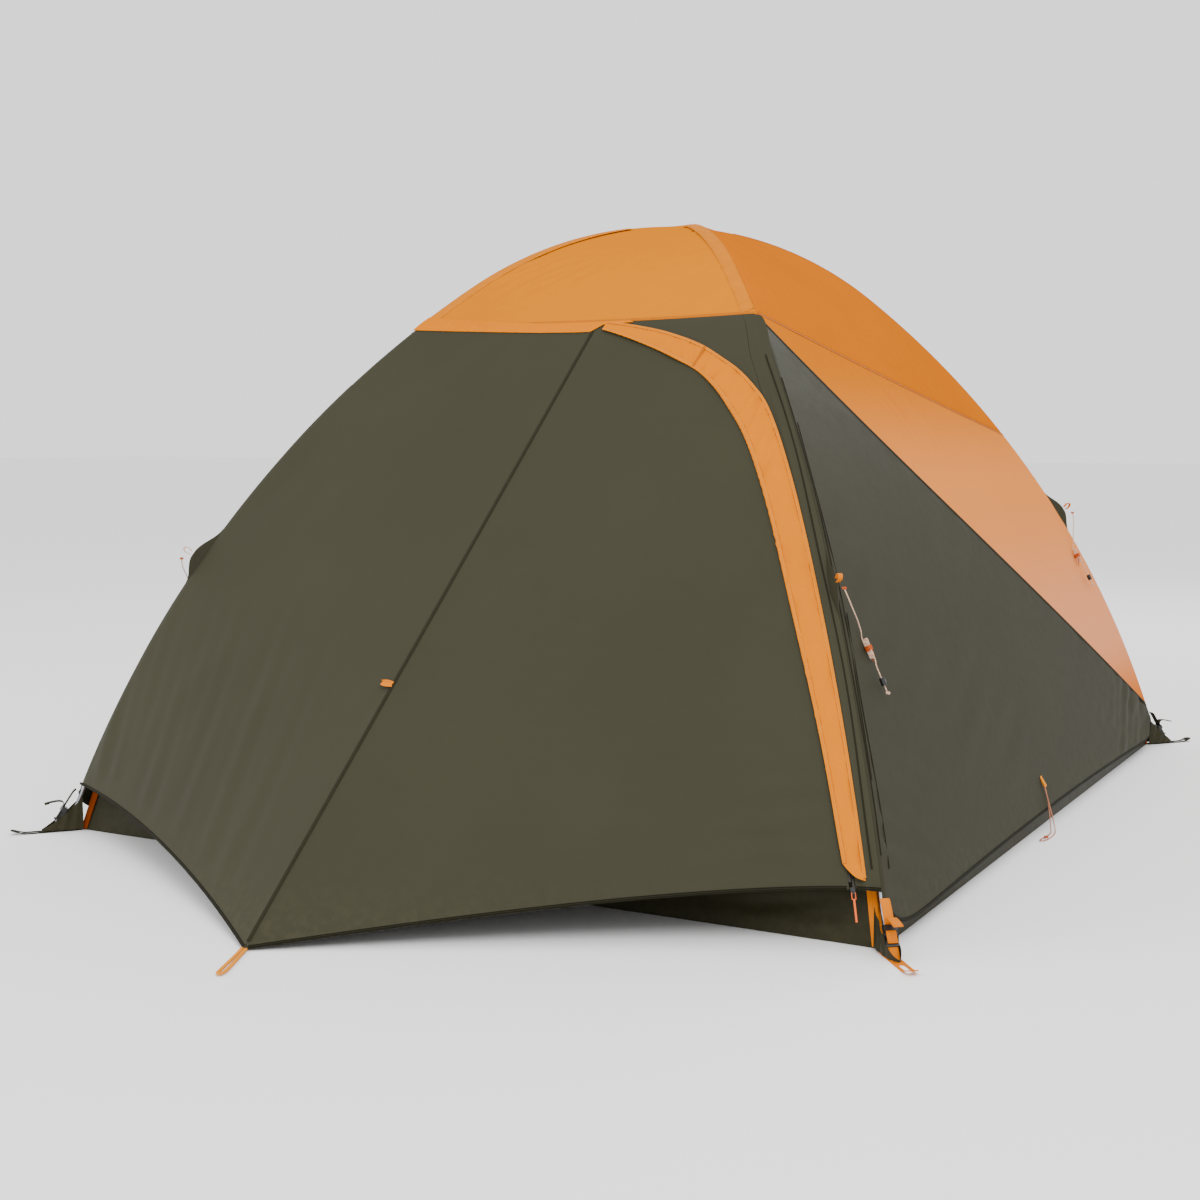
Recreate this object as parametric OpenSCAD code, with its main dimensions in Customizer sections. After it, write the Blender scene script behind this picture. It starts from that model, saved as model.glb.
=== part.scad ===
// Two-pole dome tent with its rain fly on. Millimetres, +Z up, origin under the middle
// of the floor, front porch towards -Y.

/* [Size] */
// width between the two front corners
floor_w = 2080; // [1600:10:2600]
// depth from the front corners to the rear corners
floor_d = 2490; // [1800:10:3000]
// height of the upper pole where the poles cross
peak_h = 1500; // [1200:5:1800]
// how far the porch nose stands in front of the middle of the floor
nose_y = 1800; // [1500:10:2200]
// sideways position of the porch nose
nose_x = -15; // [-100:5:150]

/* [Poles] */
// outside diameter of the pole tube
pole_od = 9; // [7:0.5:12]
// bore of the pole tube
pole_bore = 7.8; // [5.8:0.1:10.8]
// steepness of a leg at the ground
foot_angle = 70; // [60:1:76]
// steepness where the tight top bend meets the long leg bend
bend_angle = 33.6; // [28:0.2:45]

/* [Fabric] */
// gap from a pole's centre line to the outside of the fly
fly_gap = 12; // [9:0.5:18]
// modelled thickness of a fabric panel
cloth = 1.6; // [1:0.1:2.5]
// gap from a pole's centre line to the inner tent
inner_gap = 22; // [16:1:40]
// height of the waterproof tub wall
tub_h = 168; // [80:2:250]
// height of the fly hem at the corners
hem_h = 98; // [40:1:140]
// height of the cap seam on the front poles
cap_h = 1232; // [1000:2:1300]
// height of the cap seam on the rear poles
cap_rear_h = 955; // [800:5:1200]

/* [Trim] */
// width of the corner webbing
web_w = 20; // [12:1:30]
// guy line diameter
cord_d = 2.5; // [1.5:0.1:4]
// guy point height on the front poles
guy_h = 655; // [450:5:800]
// guy point height on the rear poles
guy_rear_h = 725; // [450:5:900]

/* [Hidden] */
$fn = 48;

W2 = floor_w/2;
D2 = floor_d/2;
S = norm([W2, D2]);
ka = W2/S;
kb = D2/S;
az = -atan2(D2, W2);
s1 = sin(bend_angle);
c1 = cos(bend_angle);
s2 = sin(foot_angle);
c2 = cos(foot_angle);
det = s1*(c1 - c2) - (s2 - s1)*(1 - c1);
under_h = peak_h - pole_od - 0.6;
// radii of the top bend and the leg bend for a pole of height h
function radii(h) = [(S*(c1 - c2) - (s2 - s1)*h)/det, (s1*h - (1 - c1)*S)/det];
RO = radii(peak_h);
// centres [r, z] of the two bends
function mid1(h) = [0, h - radii(h)[0]];
function mid2(h) = [(radii(h)[0] - radii(h)[1])*s1, h - radii(h)[0] + (radii(h)[0] - radii(h)[1])*c1];
// point [r, z] on the upper pole's line at steepness t, moved outwards by o
function pt(t, o) = t <= bend_angle
  ? [(RO[0] + o)*sin(t), mid1(peak_h)[1] + (RO[0] + o)*cos(t)]
  : [mid2(peak_h)[0] + (RO[1] + o)*sin(t), mid2(peak_h)[1] + (RO[1] + o)*cos(t)];
// steepness of that line at height z
function ang(z, o) = z >= pt(bend_angle, o)[1]
  ? acos((z - mid1(peak_h)[1])/(RO[0] + o))
  : acos((z - mid2(peak_h)[1])/(RO[1] + o));
seam = 0.25;
// point on a side panel (s from -1 at the front pole to 1 at the rear pole)
function side(t, s, o) = let (p = pt(t, o)) [ka*p[0], s*(kb*p[0] - seam), p[1]];
// point on a front panel
function front(t, s, o) = let (p = pt(t, o)) [s*(ka*p[0] - seam), -kb*p[0], p[1]];

// closed thin solid between an outer and an inner grid of points
module skin(P, Q) {
  n = len(P);
  m = len(P[0]);
  g = n*m;
  i0 = floor((n - 1)/2);
  j0 = floor((m - 1)/2);
  w = cross(P[i0][j0 + 1] - P[i0][j0], P[i0 + 1][j0 + 1] - P[i0][j0])*(P[i0][j0] - Q[i0][j0]);
  top = [for (i = [0:n - 2], j = [0:m - 2]) let (a = i*m + j) each
    [[a, a + 1, a + m + 1], [a, a + m + 1, a + m]]];
  low = [for (f = top) [f[2] + g, f[1] + g, f[0] + g]];
  rim = concat([for (j = [0:m - 2]) [j + 1, j]], [for (i = [0:n - 2]) [i*m, (i + 1)*m]],
    [for (j = [0:m - 2]) [(n - 1)*m + j, (n - 1)*m + j + 1]],
    [for (i = [0:n - 2]) [(i + 2)*m - 1, (i + 1)*m - 1]]);
  edge = [for (e = rim) each [[e[0], e[1], e[1] + g], [e[0], e[1] + g, e[0] + g]]];
  all = concat(top, low, edge);
  polyhedron([for (r = P) each r, for (r = Q) each r],
    w < 0 ? all : [for (f = all) [f[2], f[1], f[0]]]);
}
// panel whose point function is G(v, f, o): v down the panel, f across it
module panel(G, rows, cols, o = fly_gap, t = cloth) {
  skin([for (i = [0:rows]) [for (j = [0:cols]) G(i/rows, j/cols, o)]],
    [for (i = [0:rows]) [for (j = [0:cols]) G(i/rows, j/cols, o - t)]]);
}
// the front right quarter is drawn; q = 0 front right, 1 front left, 2 rear right, 3 rear left
module quarter(q) {
  if (q == 0)
    children();
  if (q == 1)
    mirror([1, 0, 0])
      children();
  if (q == 2)
    mirror([0, 1, 0])
      children();
  if (q == 3)
    mirror([0, 1, 0])
      mirror([1, 0, 0])
        children();
}
module quarters()
  for (q = [0:3])
    quarter(q)
      children();
// piece of the leg's line from steepness ta to tb in the front right leg's plane
module sweep(h, ta, tb) {
  first = tb <= bend_angle;
  c = first ? mid1(h) : mid2(h);
  r = first ? radii(h)[0] : radii(h)[1];
  rotate([0, 0, az])
    translate([c[0], 0, c[1]])
      rotate([90, 0, 0])
        rotate_extrude(angle = tb - ta, start = 90 - tb, $fn = 720)
          translate([r, 0])
            children();
}
// steepness at height z for a pole of height h on its leg bend
function leg_ang(h, z) = acos((z - mid2(h)[1])/radii(h)[1]);
tip_z = 26;
joints = [bend_angle/3, bend_angle, bend_angle + 8.75, bend_angle + 17.5, bend_angle + 26.25];
module tubes(h, q) {
  cut = 0.012;
  stops = concat([for (j = joints) j], [leg_ang(h, tip_z)]);
  for (i = [0:len(stops) - 2])
    quarter(q)
      sweep(h, stops[i] + cut, stops[i + 1] - cut)
        tube_ring();
}
module tube_ring() difference() {
  circle(d = pole_od, $fn = 24);
  circle(d = pole_bore, $fn = 24);
}
module pole(h, q) {
  tubes(h, q);
  tubes(h, 3 - q);
  quarter(q)
    sweep(h, -joints[0] + 0.012, joints[0] - 0.012)
      tube_ring();
}
module pole_over() color("silver")
  pole(peak_h, 0);
module pole_under() color("silver")
  pole(under_h, 1);
module sleeve() difference() {
  circle(d = pole_bore - 0.3, $fn = 24);
  circle(d = 5.2, $fn = 24);
}
// short sleeve where the two bends meet: one arc of in-between radius
module bend_sleeve(h) {
  r = 2/(1/radii(h)[0] + 1/radii(h)[1]);
  c = mid1(h) + (radii(h)[0] - r)*[s1, c1];
  rotate([0, 0, az])
    translate([c[0], 0, c[1]])
      rotate([90, 0, 0])
        rotate_extrude(angle = 60/r*57.3, start = 90 - bend_angle - 30/r*57.3, $fn = 720)
          translate([r, 0])
            sleeve();
}
module pole_ferrules() color("dimgray")
  for (q = [0:3]) {
    h = (q == 0 || q == 3) ? peak_h : under_h;
    quarter(q)
      for (j = joints) {
        half = 40/(j < bend_angle ? radii(h)[0] : radii(h)[1])*57.3;
        if (j == bend_angle)
          bend_sleeve(h);
        else
          sweep(h, j - half, j + half)
            sleeve();
      }
  }
module pole_tips() color("black")
  for (q = [0:3]) {
    h = (q == 0 || q == 3) ? peak_h : under_h;
    quarter(q)
      union() {
        sweep(h, leg_ang(h, tip_z + 20), leg_ang(h, tip_z - 1))
          circle(d = 6.8, $fn = 24);
        sweep(h, leg_ang(h, tip_z - 0.3), leg_ang(h, 13.9))
          circle(d = pole_od, $fn = 24);
        sweep(h, leg_ang(h, 14), leg_ang(h, 1.6))
          circle(d = 5.6, $fn = 24);
      }
  }
// elastic cord inside each pole, drawn along the pole's line from end to end
function pole_pt(h, t) = let (a = abs(t), r = radii(h),
    p = a <= bend_angle ? mid1(h) + r[0]*[sin(a), cos(a)] : mid2(h) + r[1]*[sin(a), cos(a)])
  [sign(t)*p[0], 0, p[1]];
module shock_cords() color("white")
  for (k = [1, -1]) {
    h = k > 0 ? peak_h : under_h;
    end = leg_ang(h, tip_z + 21);
    rotate([0, 0, k*az])
      cord([for (i = [-38:38]) pole_pt(h, end*sign(i)*pow(abs(i)/38, 1.2))], 3, [0, 1, 0]);
  }

// ---- inner tent ----
low_t = ang(tub_h + 2, -inner_gap);
lp = pt(low_t, -inner_gap);
wall_top = 1020;
up_t = ang(wall_top, -inner_gap);
up = pt(up_t, -inner_gap);
front_rise = norm([kb*(lp[0] - up[0]), up[1] - lp[1]]);
front_tilt = atan2(up[1] - lp[1], kb*(lp[0] - up[0]));
side_rise = norm([ka*(lp[0] - up[0]), up[1] - lp[1]]);
side_tilt = atan2(up[1] - lp[1], ka*(lp[0] - up[0]));
// door: a round of door_r clipped by the sloping hinge side and the threshold
door_r = 480;
door_c = [-60, 300];
hinge_foot = -470;
hinge_lean = atan2(ka*(lp[0] - up[0]), front_rise);
door_gap = 3;
// frame of the front wall: x across, y up the slope, z outwards
module on_front()
  translate([0, -kb*lp[0], lp[1]])
    rotate([front_tilt, 0, 0])
      children();
module door_shape(grow) intersection() {
  translate(door_c)
    circle(r = door_r + grow, $fn = 96);
  polygon([[hinge_foot - grow, 60 - grow], [1000, 60 - grow], [1000, 1200],
    [hinge_foot - grow + (1140 + grow)*tan(hinge_lean), 1200]]);
}
module end_wall() polygon([[-ka*lp[0], 0], [ka*lp[0], 0], [ka*up[0], front_rise], [-ka*up[0], front_rise]]);
module inner_wall_front() color("#5a5848")
  on_front()
    linear_extrude(height = cloth)
      difference() {
        end_wall();
        door_shape(door_gap + 4);
      }
module inner_wall_rear() color("#5a5848")
  mirror([0, 1, 0])
    on_front()
      linear_extrude(height = cloth)
        end_wall();
module side_wall()
  translate([ka*lp[0], 0, lp[1]])
    rotate([0, 0, 90])
      rotate([side_tilt, 0, 0])
        linear_extrude(height = cloth)
          polygon([[-kb*lp[0], 0], [kb*lp[0], 0], [kb*up[0], side_rise], [-kb*up[0], side_rise]]);
module inner_wall_right() color("#5a5848")
  side_wall();
module inner_wall_left() color("#5a5848")
  mirror([1, 0, 0])
    side_wall();
// rings of four corners, outer shell and inner shell, closed at the top
module inner_roof() color("#6a6858") {
  ts = [for (i = [0:9]) up_t - 0.1 - (up_t - 0.6)*i/9];
  n = len(ts);
  ring = [[1, 1], [-1, 1], [-1, -1], [1, -1]];
  P = [for (o = [-inner_gap, -inner_gap - cloth], t = ts, c = ring)
    let (p = pt(t, o)) [c[0]*ka*p[0], c[1]*kb*p[0], p[1]]];
  shell = [for (i = [0:n - 2], j = [0:3]) let (a = 4*i, k = (j + 1) % 4)
    [a + j, a + 4 + j, a + 4 + k, a + k]];
  g = 4*n;
  polyhedron(P, concat(shell, [[4*n - 1, 4*n - 2, 4*n - 3, 4*n - 4]],
    [for (f = shell) [f[3] + g, f[2] + g, f[1] + g, f[0] + g]],
    [[g + 4*n - 4, g + 4*n - 3, g + 4*n - 2, g + 4*n - 1]],
    [for (j = [0:3]) let (k = (j + 1) % 4) [k, k + g, j + g, j]]));
}
module floor_tub() color("#363426") {
  b = S - 34;
  corners = [for (lv = [[b, 0], [lp[0], tub_h], [lp[0] - 2.6, tub_h], [b - 2.6, 1.6]],
    c = [[1, 1], [-1, 1], [-1, -1], [1, -1]]) [c[0]*ka*lv[0], c[1]*kb*lv[0], lv[1]]];
  polyhedron(corners, concat([[0, 1, 2, 3]], [[15, 14, 13, 12]],
    [for (i = [0:2], j = [0:3]) let (a = 4*i, k = (j + 1) % 4) [a + j, a + 4 + j, a + 4 + k, a + k]]));
}
module inner_door() color("#4c4a3c")
  on_front()
    linear_extrude(height = cloth)
      door_shape(-4.2);
zip_r = door_r + (door_gap - 0.2)/2;
module door_arc(r0, r1) intersection() {
  difference() {
    translate(door_c)
      circle(r = r1, $fn = 96);
    translate(door_c)
      circle(r = r0, $fn = 96);
  }
  polygon([[hinge_foot + 60, 75], [1000, 75], [1000, 1200],
    [hinge_foot + 60 + 1125*tan(hinge_lean), 1200]]);
}
module inner_zip_wall() color("black")
  on_front()
    translate([0, 0, -0.4])
      linear_extrude(height = 2.4)
        door_arc(zip_r + 1.6, zip_r + 5.3);
module inner_zip_door() color("black")
  on_front()
    translate([0, 0, -0.4])
      linear_extrude(height = 2.4)
        door_arc(zip_r - 5.3, zip_r - 1.6);
// slider of the inner door at the threshold end of its round track, pull hanging inside
slide_a = asin((82 - door_c[1])/zip_r);
module inner_slider() color("black")
  on_front()
    translate([door_c[0], door_c[1], 0])
      rotate([0, 0, slide_a])
        translate([zip_r, 0, 0])
          union() {
            translate([-5.5, -7, 2.6])
              cube([11, 14, 2]);
            translate([-1, -5, -2.8])
              cube([2, 10, 6]);
            translate([-5.5, -7, -3.2])
              cube([11, 14, 2]);
            translate([-2, -3, -5.2])
              cube([4, 6, 2.1]);
            translate([-2.6, -30, -6.6])
              cube([5.2, 36, 1.5]);
          }

// ---- clips that hang the inner tent on the poles ----
clip_z = [300, 480, 660, 840, 1000];
clip_t = concat([22], [for (z = clip_z) ang(z, 0)]);
// frame on the leg line: x down the pole, y across, z outwards
module on_leg(t)
  rotate([0, 0, az])
    translate([pt(t, 0)[0], 0, pt(t, 0)[1]])
      rotate([0, t, 0])
        children();
// distance from the pole's line to the inner tent's corner at steepness t
function drop(t) = t < up_t ? inner_gap
  : let (p = pt(t, 0), e = (up - lp)/norm(up - lp), n = [e[1], -e[0]])
    ((p - lp)*n)/(n*[sin(t), cos(t)]);
module clip_hook() color("black") difference() {
  union() {
    rotate([0, 90, 0])
      cylinder(d = 12.1, h = 12, center = true);
    translate([-6, -3, -12.6])
      cube([12, 6, 7.1]);
  }
  rotate([0, 90, 0])
    cylinder(d = pole_od + 1.4, h = 14, center = true);
  translate([-8, -3.6, 3])
    cube([16, 7.2, 8]);
  translate([-8, -1, -14])
    cube([16, 2, 5]);
}
// point [r, z] at steepness t on a pole of height h
function pole_line(h, t) = let (R = radii(h)) t <= bend_angle
  ? [R[0]*sin(t), mid1(h)[1] + R[0]*cos(t)]
  : [mid2(h)[0] + R[1]*sin(t), mid2(h)[1] + R[1]*cos(t)];
// how far the lower pole lies under the upper pole's line on quarter q
function below(q, t) = q == 0 || q == 3 ? 0 : (pt(t, 0) - pole_line(under_h, t))*[sin(t), cos(t)];
module pole_clips()
  for (q = [0:3], t = clip_t)
    quarter(q)
      on_leg(t)
        translate([0, 0, -below(q, t) - (t < 30 && below(q, t) == 0 ? 0.5 : 0)])
          clip_hook();
module clip_tabs() color("#2c2a20")
  for (q = [0:3], t = clip_t)
    quarter(q)
      on_leg(t)
        translate([-5.5, -0.7, -drop(t) + 1.9])
          cube([11, 1.4, drop(t) - 1.9 - 9.6 - below(q, t)]);
module apex_clip() color("black") difference() {
  translate([0, 0, peak_h - inner_gap + 0.4])
    cylinder(d = 38, h = 10);
  translate([0, 0, under_h])
    rotate([0, 0, -az])
      rotate([0, 90, 0])
        cylinder(d = pole_od + 0.8, h = 60, center = true);
  translate([0, 0, under_h])
    rotate([0, 0, -az])
      translate([-30, -(pole_od + 0.8)/2, 0])
        cube([60, pole_od + 0.8, 20]);
  translate([0, 0, peak_h])
    rotate([0, 0, az])
      translate([-30, -(pole_od + 0.8)/2, -(pole_od + 0.8)/2])
        cube([60, pole_od + 0.8, 20]);
}

// ---- corners ----
module slot_plate(x0, x1, w, s0, s1, sw, t) linear_extrude(height = t) difference() {
  union() {
    translate([x0, -w/2])
      square([x1 - x0 - w/2, w]);
    translate([x1 - w/2, 0])
      circle(d = w);
  }
  translate([s0, -sw/2])
    square([s1 - s0, sw]);
}
module corner_webbing() color("#b9622a")
  quarters()
    rotate([0, 0, az])
      translate([S, 0, 0.3])
        difference() {
          slot_plate(-33, 132, web_w + 6, 66, 112, 12, 1.6);
          translate([-0.6, 0, -1])
            cylinder(d = 11, h = 4);
        }
module grommets() color("silver")
  quarters()
    rotate([0, 0, az])
      translate([S - 0.6, 0, 0.3])
        rotate_extrude()
          polygon([[4.2, 0], [5.2, 0], [5.2, 1.8], [8, 1.8], [8, 2.8], [4.2, 2.8]]);
// frame of a corner strap: x outwards, y across, z up the strap
strap_foot = [S + 36, 5];
strap_lean = 33;
module on_strap()
  rotate([0, 0, az])
    translate([strap_foot[0], 0, strap_foot[1]])
      rotate([0, -strap_lean, 0])
        children();
module fly_straps() color("#c97030")
  quarters()
    on_strap()
      union() {
        translate([5, -web_w/2, 27])
          cube([1.6, web_w, 78]);
        translate([5, -web_w/2, 25])
          cube([5, web_w, 2.2]);
      }
module buckle_females() color("black")
  quarters()
    on_strap()
      difference() {
        union() {
          translate([-5, -12.5, 20])
            cube([9, 25, 26]);
          translate([-2.4, -10, -2])
            cube([1.6, 20, 23]);
        }
        translate([-3.2, -10.5, 26])
          cube([5.4, 21, 21]);
        translate([-6, -14, 30])
          cube([11, 3.6, 10]);
        translate([-6, 10.4, 30])
          cube([11, 3.6, 10]);
      }
module buckle_male() color("black")
  on_strap()
    difference() {
      union() {
        translate([-5, -12.5, 46.6])
          cube([9, 25, 15]);
        translate([3.9, -12.5, 49])
          cube([5, 25, 11]);
        for (y = [-9.8, -1.7, 6.4])
          translate([-2.8, y, 28])
            cube([4.6, 3.4, 19]);
      }
      translate([4.4, -10.6, 48])
        cube([2.8, 21.2, 13]);
      translate([-6, -8, 52])
        cube([6, 16, 5]);
    }
module buckle_male_fr()
  quarter(0)
    buckle_male();
module buckle_male_fl()
  quarter(1)
    buckle_male();
module buckle_male_rr()
  quarter(2)
    buckle_male();
module buckle_male_rl()
  quarter(3)
    buckle_male();

// ---- fly ----
tiny = 0.25;
cap_t = ang(cap_h, fly_gap);
cap_rear_t = ang(cap_rear_h, fly_gap);
nose_top_s = 0.12;
gap_t = 0.012;
// steepness of the cap seam across the front, a little lower in the middle
function front_seam(s) = cap_t + 0.3*(1 - s*s);
// steepness of the cap seam along a side
function side_seam(s) = cap_t + (cap_rear_t - cap_t)*pow((s + 1)/2, 1.08);
// steepness of the slanting colour seam on a side
split_end_t = ang(122, fly_gap);
function split_seam(s) = cap_t + 0.35 + (split_end_t - cap_t - 0.35)*pow((s + 1)/2, 1.06);
// steepness of the side hem, higher at the corner straps
function side_hem(s) = ang(24 + 20*(1 - s*s) + (hem_h - 24)*pow(abs(s), 24), fly_gap);
function lerp(a, b, f) = a + (b - a)*f;
module fly_cap_front() color("#df9348")
  panel(function(v, f, o) front(lerp(tiny, front_seam(2*f - 1) - gap_t, v), 2*f - 1, o), 9, 10);
module fly_cap_rear() color("#df9348")
  mirror([0, 1, 0])
    panel(function(v, f, o) front(lerp(tiny, cap_rear_t - gap_t, v), 2*f - 1, o), 9, 4);
module cap_side()
  panel(function(v, f, o) side(lerp(tiny, side_seam(2*f - 1) - gap_t, v), 2*f - 1, o), 9, 8);
module fly_cap_right() color("#df9348")
  cap_side();
module fly_cap_left() color("#df9348")
  mirror([1, 0, 0])
    cap_side();
module side_upper()
  panel(function(v, f, o)
    side(lerp(side_seam(2*f - 1) + gap_t, split_seam(2*f - 1) - gap_t, v), 2*f - 1, o), 9, 12);
module side_lower()
  panel(function(v, f, o) side(lerp(split_seam(2*f - 1) + gap_t, side_hem(2*f - 1), v), 2*f - 1, o), 9, 14);
module fly_right_upper() color("#e0b090")
  side_upper();
module fly_right_lower() color("#585647")
  side_lower();
module fly_left_upper() color("#e0b090")
  mirror([1, 0, 0])
    side_upper();
module fly_left_lower() color("#585647")
  mirror([1, 0, 0])
    side_lower();
module fly_rear() color("#e0a868")
  mirror([0, 1, 0])
    panel(function(v, f, o) front(lerp(cap_rear_t + gap_t, side_hem(2*f - 1), v), 2*f - 1, o), 10, 14);

// ---- porch ----
nose_top = front(front_seam(nose_top_s) + gap_t, nose_top_s, fly_gap);
nose = [nose_x, -nose_y, 3];
ridge_n = let (e = (nose - nose_top)/norm(nose - nose_top)) cross([1, 0, 0], e)/norm(cross([1, 0, 0], e));
function ridge(v, k) = lerp(nose_top, nose, v) - k*ridge_n;
porch_end_t = ang(-28, fly_gap);
// leg line of the front right pole at v down the porch, k outwards
function leg(v, k) = let (p = pt(lerp(cap_t + gap_t, porch_end_t, v), fly_gap + k))
  [ka*p[0], -kb*p[0] - 0.4, p[1]];
// left porch panel: f = 0 at the ridge, 1 at the pole
function left_hem(f) = 1 - 0.094*(1 - pow(1 - f, 1.7));
function left_pt(v, f, o) = let (k = o - fly_gap, w = v*left_hem(f),
    a = ridge(w, k) - [0.9*(1 - f), 0, 0], b = [-leg(w, k)[0], leg(w, k)[1], leg(w, k)[2]],
    s = lerp(nose_top_s, -1, f), c = front(front_seam(s) + gap_t, s, o),
    a0 = ridge(0, k), b0 = [-leg(0, k)[0], leg(0, k)[1], leg(0, k)[2]])
  lerp(a, b, f) + (c - lerp(a0, b0, f))*pow(max(0, 1 - 5*w), 2);
module porch_left() color("#525041")
  panel(function(v, f, o) left_pt(v, f, o), 10, 12);
// right porch: the zip line is the leg line moved by zip_shift
zip_shift = [-54, -15, 0];
zip_w = norm(zip_shift);
function right_hem(f) = 1 - 0.094*(1 - pow(1 - f, 1.6));
// point d millimetres from the pole towards the ridge
function right_pt(w, d, k) = let (z = leg(w, k) + zip_shift, r = ridge(w, k) + [1.5, 0, 0],
    q = d <= zip_w ? leg(w, k) + zip_shift*d/zip_w : lerp(z, r, min(1, (d - zip_w)/norm(r - z))),
    sx = q[0]/(ka*pt(cap_t, fly_gap)[0]), c = front(front_seam(sx) + gap_t, sx, fly_gap + k))
  q + [0, c[1] - q[1], c[2] - q[2]]*pow(max(0, 1 - 9*w), 2);
function span(w) = zip_w + norm(ridge(w, 0) + [1.5, 0, 0] - leg(w, 0) - zip_shift);
module porch_strip() color("#525041")
  panel(function(v, f, o) right_pt(v*0.906, 3.6 + f*(zip_w - 10), o - fly_gap), 14, 2);
// door: f = 0 at the zip, 1 at the ridge
function door_w(v, f) = v*right_hem(1 - f);
module fly_door() color("#525041")
  panel(function(v, f, o) right_pt(max(0.004, door_w(v, f)),
    lerp(zip_w + 5.8, span(door_w(v, f)), f), o - fly_gap), 14, 10);
// storm flap over the zip: its edges as [v down the porch, distance from the pole]
flap_outer = [[0.012, 398], [0.03, 325], [0.05, 243], [0.08, 155], [0.12, 98], [0.17, 62], [0.22, 44],
  [0.34, 36], [0.55, 34], [0.74, 32], [0.895, 30]];
flap_inner = [[0.035, 418], [0.064, 322], [0.09, 250], [0.12, 195], [0.16, 160], [0.21, 136], [0.272, 116],
  [0.378, 104], [0.55, 96], [0.74, 80], [0.895, 70]];
function along(P, v) = let (x = v*(len(P) - 1), i = min(len(P) - 2, floor(x))) cat(P, i, x - i);
function flap_pt(v, f, o) = let (q = lerp(along(flap_outer, v), along(flap_inner, v), f),
    rise = min(1, max(0, (v - 0.28)*7)))
  right_pt(q[0], q[1], 2.2 + 3*f + o - fly_gap + 8*sin(180*f)*rise);
module storm_flap() color("#e58f34")
  panel(function(v, f, o) flap_pt(v, f, o), 26, 6, fly_gap, 1.2);

// ---- door zip ----
zip_mid = mid2(peak_h);
zip_line_r = RO[1] + fly_gap - cloth/2;
zip_low_t = ang(100, fly_gap);
zip_high_t = ang(915, fly_gap);
module on_zip()
  translate(zip_shift - [0, 0.4, 0])
    rotate([0, 0, az])
      translate([zip_mid[0], 0, zip_mid[1]])
        rotate([90, 0, 0])
          children();
module coil(y0, dir, ta, tb) color("#3a3426")
  on_zip()
    rotate_extrude(angle = tb - ta, start = 90 - tb, $fn = 96)
      union() {
        translate([zip_line_r - 1.1, min(y0, y0 + 3*dir)])
          square([2.2, 3]);
        translate([zip_line_r - 0.4, min(y0 + 2.9*dir, y0 + 4.2*dir)])
          square([0.8, 1.3]);
      }
// y0 is measured across the zip; rotate([90,0,0]) turns it to minus the across direction
module zip_fixed()
  coil(-1.2, -1, zip_high_t, ang(92, fly_gap));
module zip_door()
  coil(1.2, 1, zip_high_t, ang(124, fly_gap));
// slider, resting at the bottom of the fixed coil below the door's coil
slider_t = ang(108, fly_gap);
module on_slider(r)
  translate(zip_shift - [0, 0.4, 0])
    rotate([0, 0, az])
      translate([zip_mid[0], 0, zip_mid[1]])
        rotate([0, slider_t, 0])
          translate([0, 0, r])
            children();
module zip_slider() color("#2a2a2a")
  on_slider(zip_line_r)
    difference() {
      union() {
        translate([-7, -4.7, 1.7])
          cube([14, 9.4, 1.6]);
        translate([-5, -0.75, -2.6])
          cube([10, 1.5, 5]);
        translate([-7, -4.7, -3.3])
          cube([14, 9.4, 1.6]);
        translate([1, -2.4, 3.2])
          cube([5, 4.8, 3.6]);
      }
      translate([2.2, -3, 3.2])
        cube([2.6, 6, 2.2]);
    }
// pull: wire ring through the slider's bail with a cord tail
module zip_pull() color("#e58f34")
  on_slider(zip_line_r)
    union() {
      translate([3.5, 0, 4.3])
        rotate([90, 0, 0])
          cylinder(d = 1.3, h = 7.4, center = true);
      for (y = [-4.3, 3.1])
        translate([2.85, y, 3.65])
          cube([13, 1.2, 1.3]);
      translate([14.6, -4.3, 3.65])
        cube([1.3, 8.6, 1.3]);
      translate([15.6, 0, 4.3])
        rotate([0, 90, 0])
          cylinder(d = 4, h = 42);
    }

// ---- guy points ----
fin_len = 160;
fin_out = 25;
module fin(t)
  on_leg(t)
    translate([0, 0, fly_gap + 0.3])
      rotate([90, 0, 0])
        linear_extrude(height = 1.4, center = true)
          polygon([[-fin_len/2, 0], [fin_len/2, 0], [22, fin_out], [2, fin_out]]);
function guy_t(q) = ang(q < 2 ? guy_h : guy_rear_h, 0);
module guy_fins() color("#585647")
  for (q = [0:3])
    quarter(q)
      fin(guy_t(q));
module guy_loop(t)
  on_leg(t)
    translate([12, 0, fly_gap + fin_out + 0.5])
      rotate([90, 0, 0])
        linear_extrude(height = 10, center = true)
          difference() {
            union() {
              translate([-7, 0])
                square([14, 14]);
              translate([0, 14])
                circle(d = 14);
            }
            translate([-5.2, 1.8])
              square([10.4, 12.2]);
            translate([0, 14])
              circle(d = 10.4);
          }
// tab sewn to a side panel near the hem, ring below it for the peg cord
side_tab_y = -70;
side_tab_z = 112;
function side_x(z, o) = ka*pt(ang(z, fly_gap + o), fly_gap + o)[0];
module side_tab()
  translate([side_x(side_tab_z, 0), side_tab_y, side_tab_z])
    rotate([0, -16.5, 0])
      translate([1.3, 0, 0])
        rotate([0, 90, 0])
          linear_extrude(height = 1.6)
            difference() {
              translate([-14, -8])
                square([28, 16]);
              translate([4, -4.5])
                square([6, 9]);
            }
module webbing_loops() color("#d07a38") {
  for (q = [0:3])
    quarter(q)
      guy_loop(guy_t(q));
  side_tab();
  mirror([1, 0, 0])
    side_tab();
}

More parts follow.
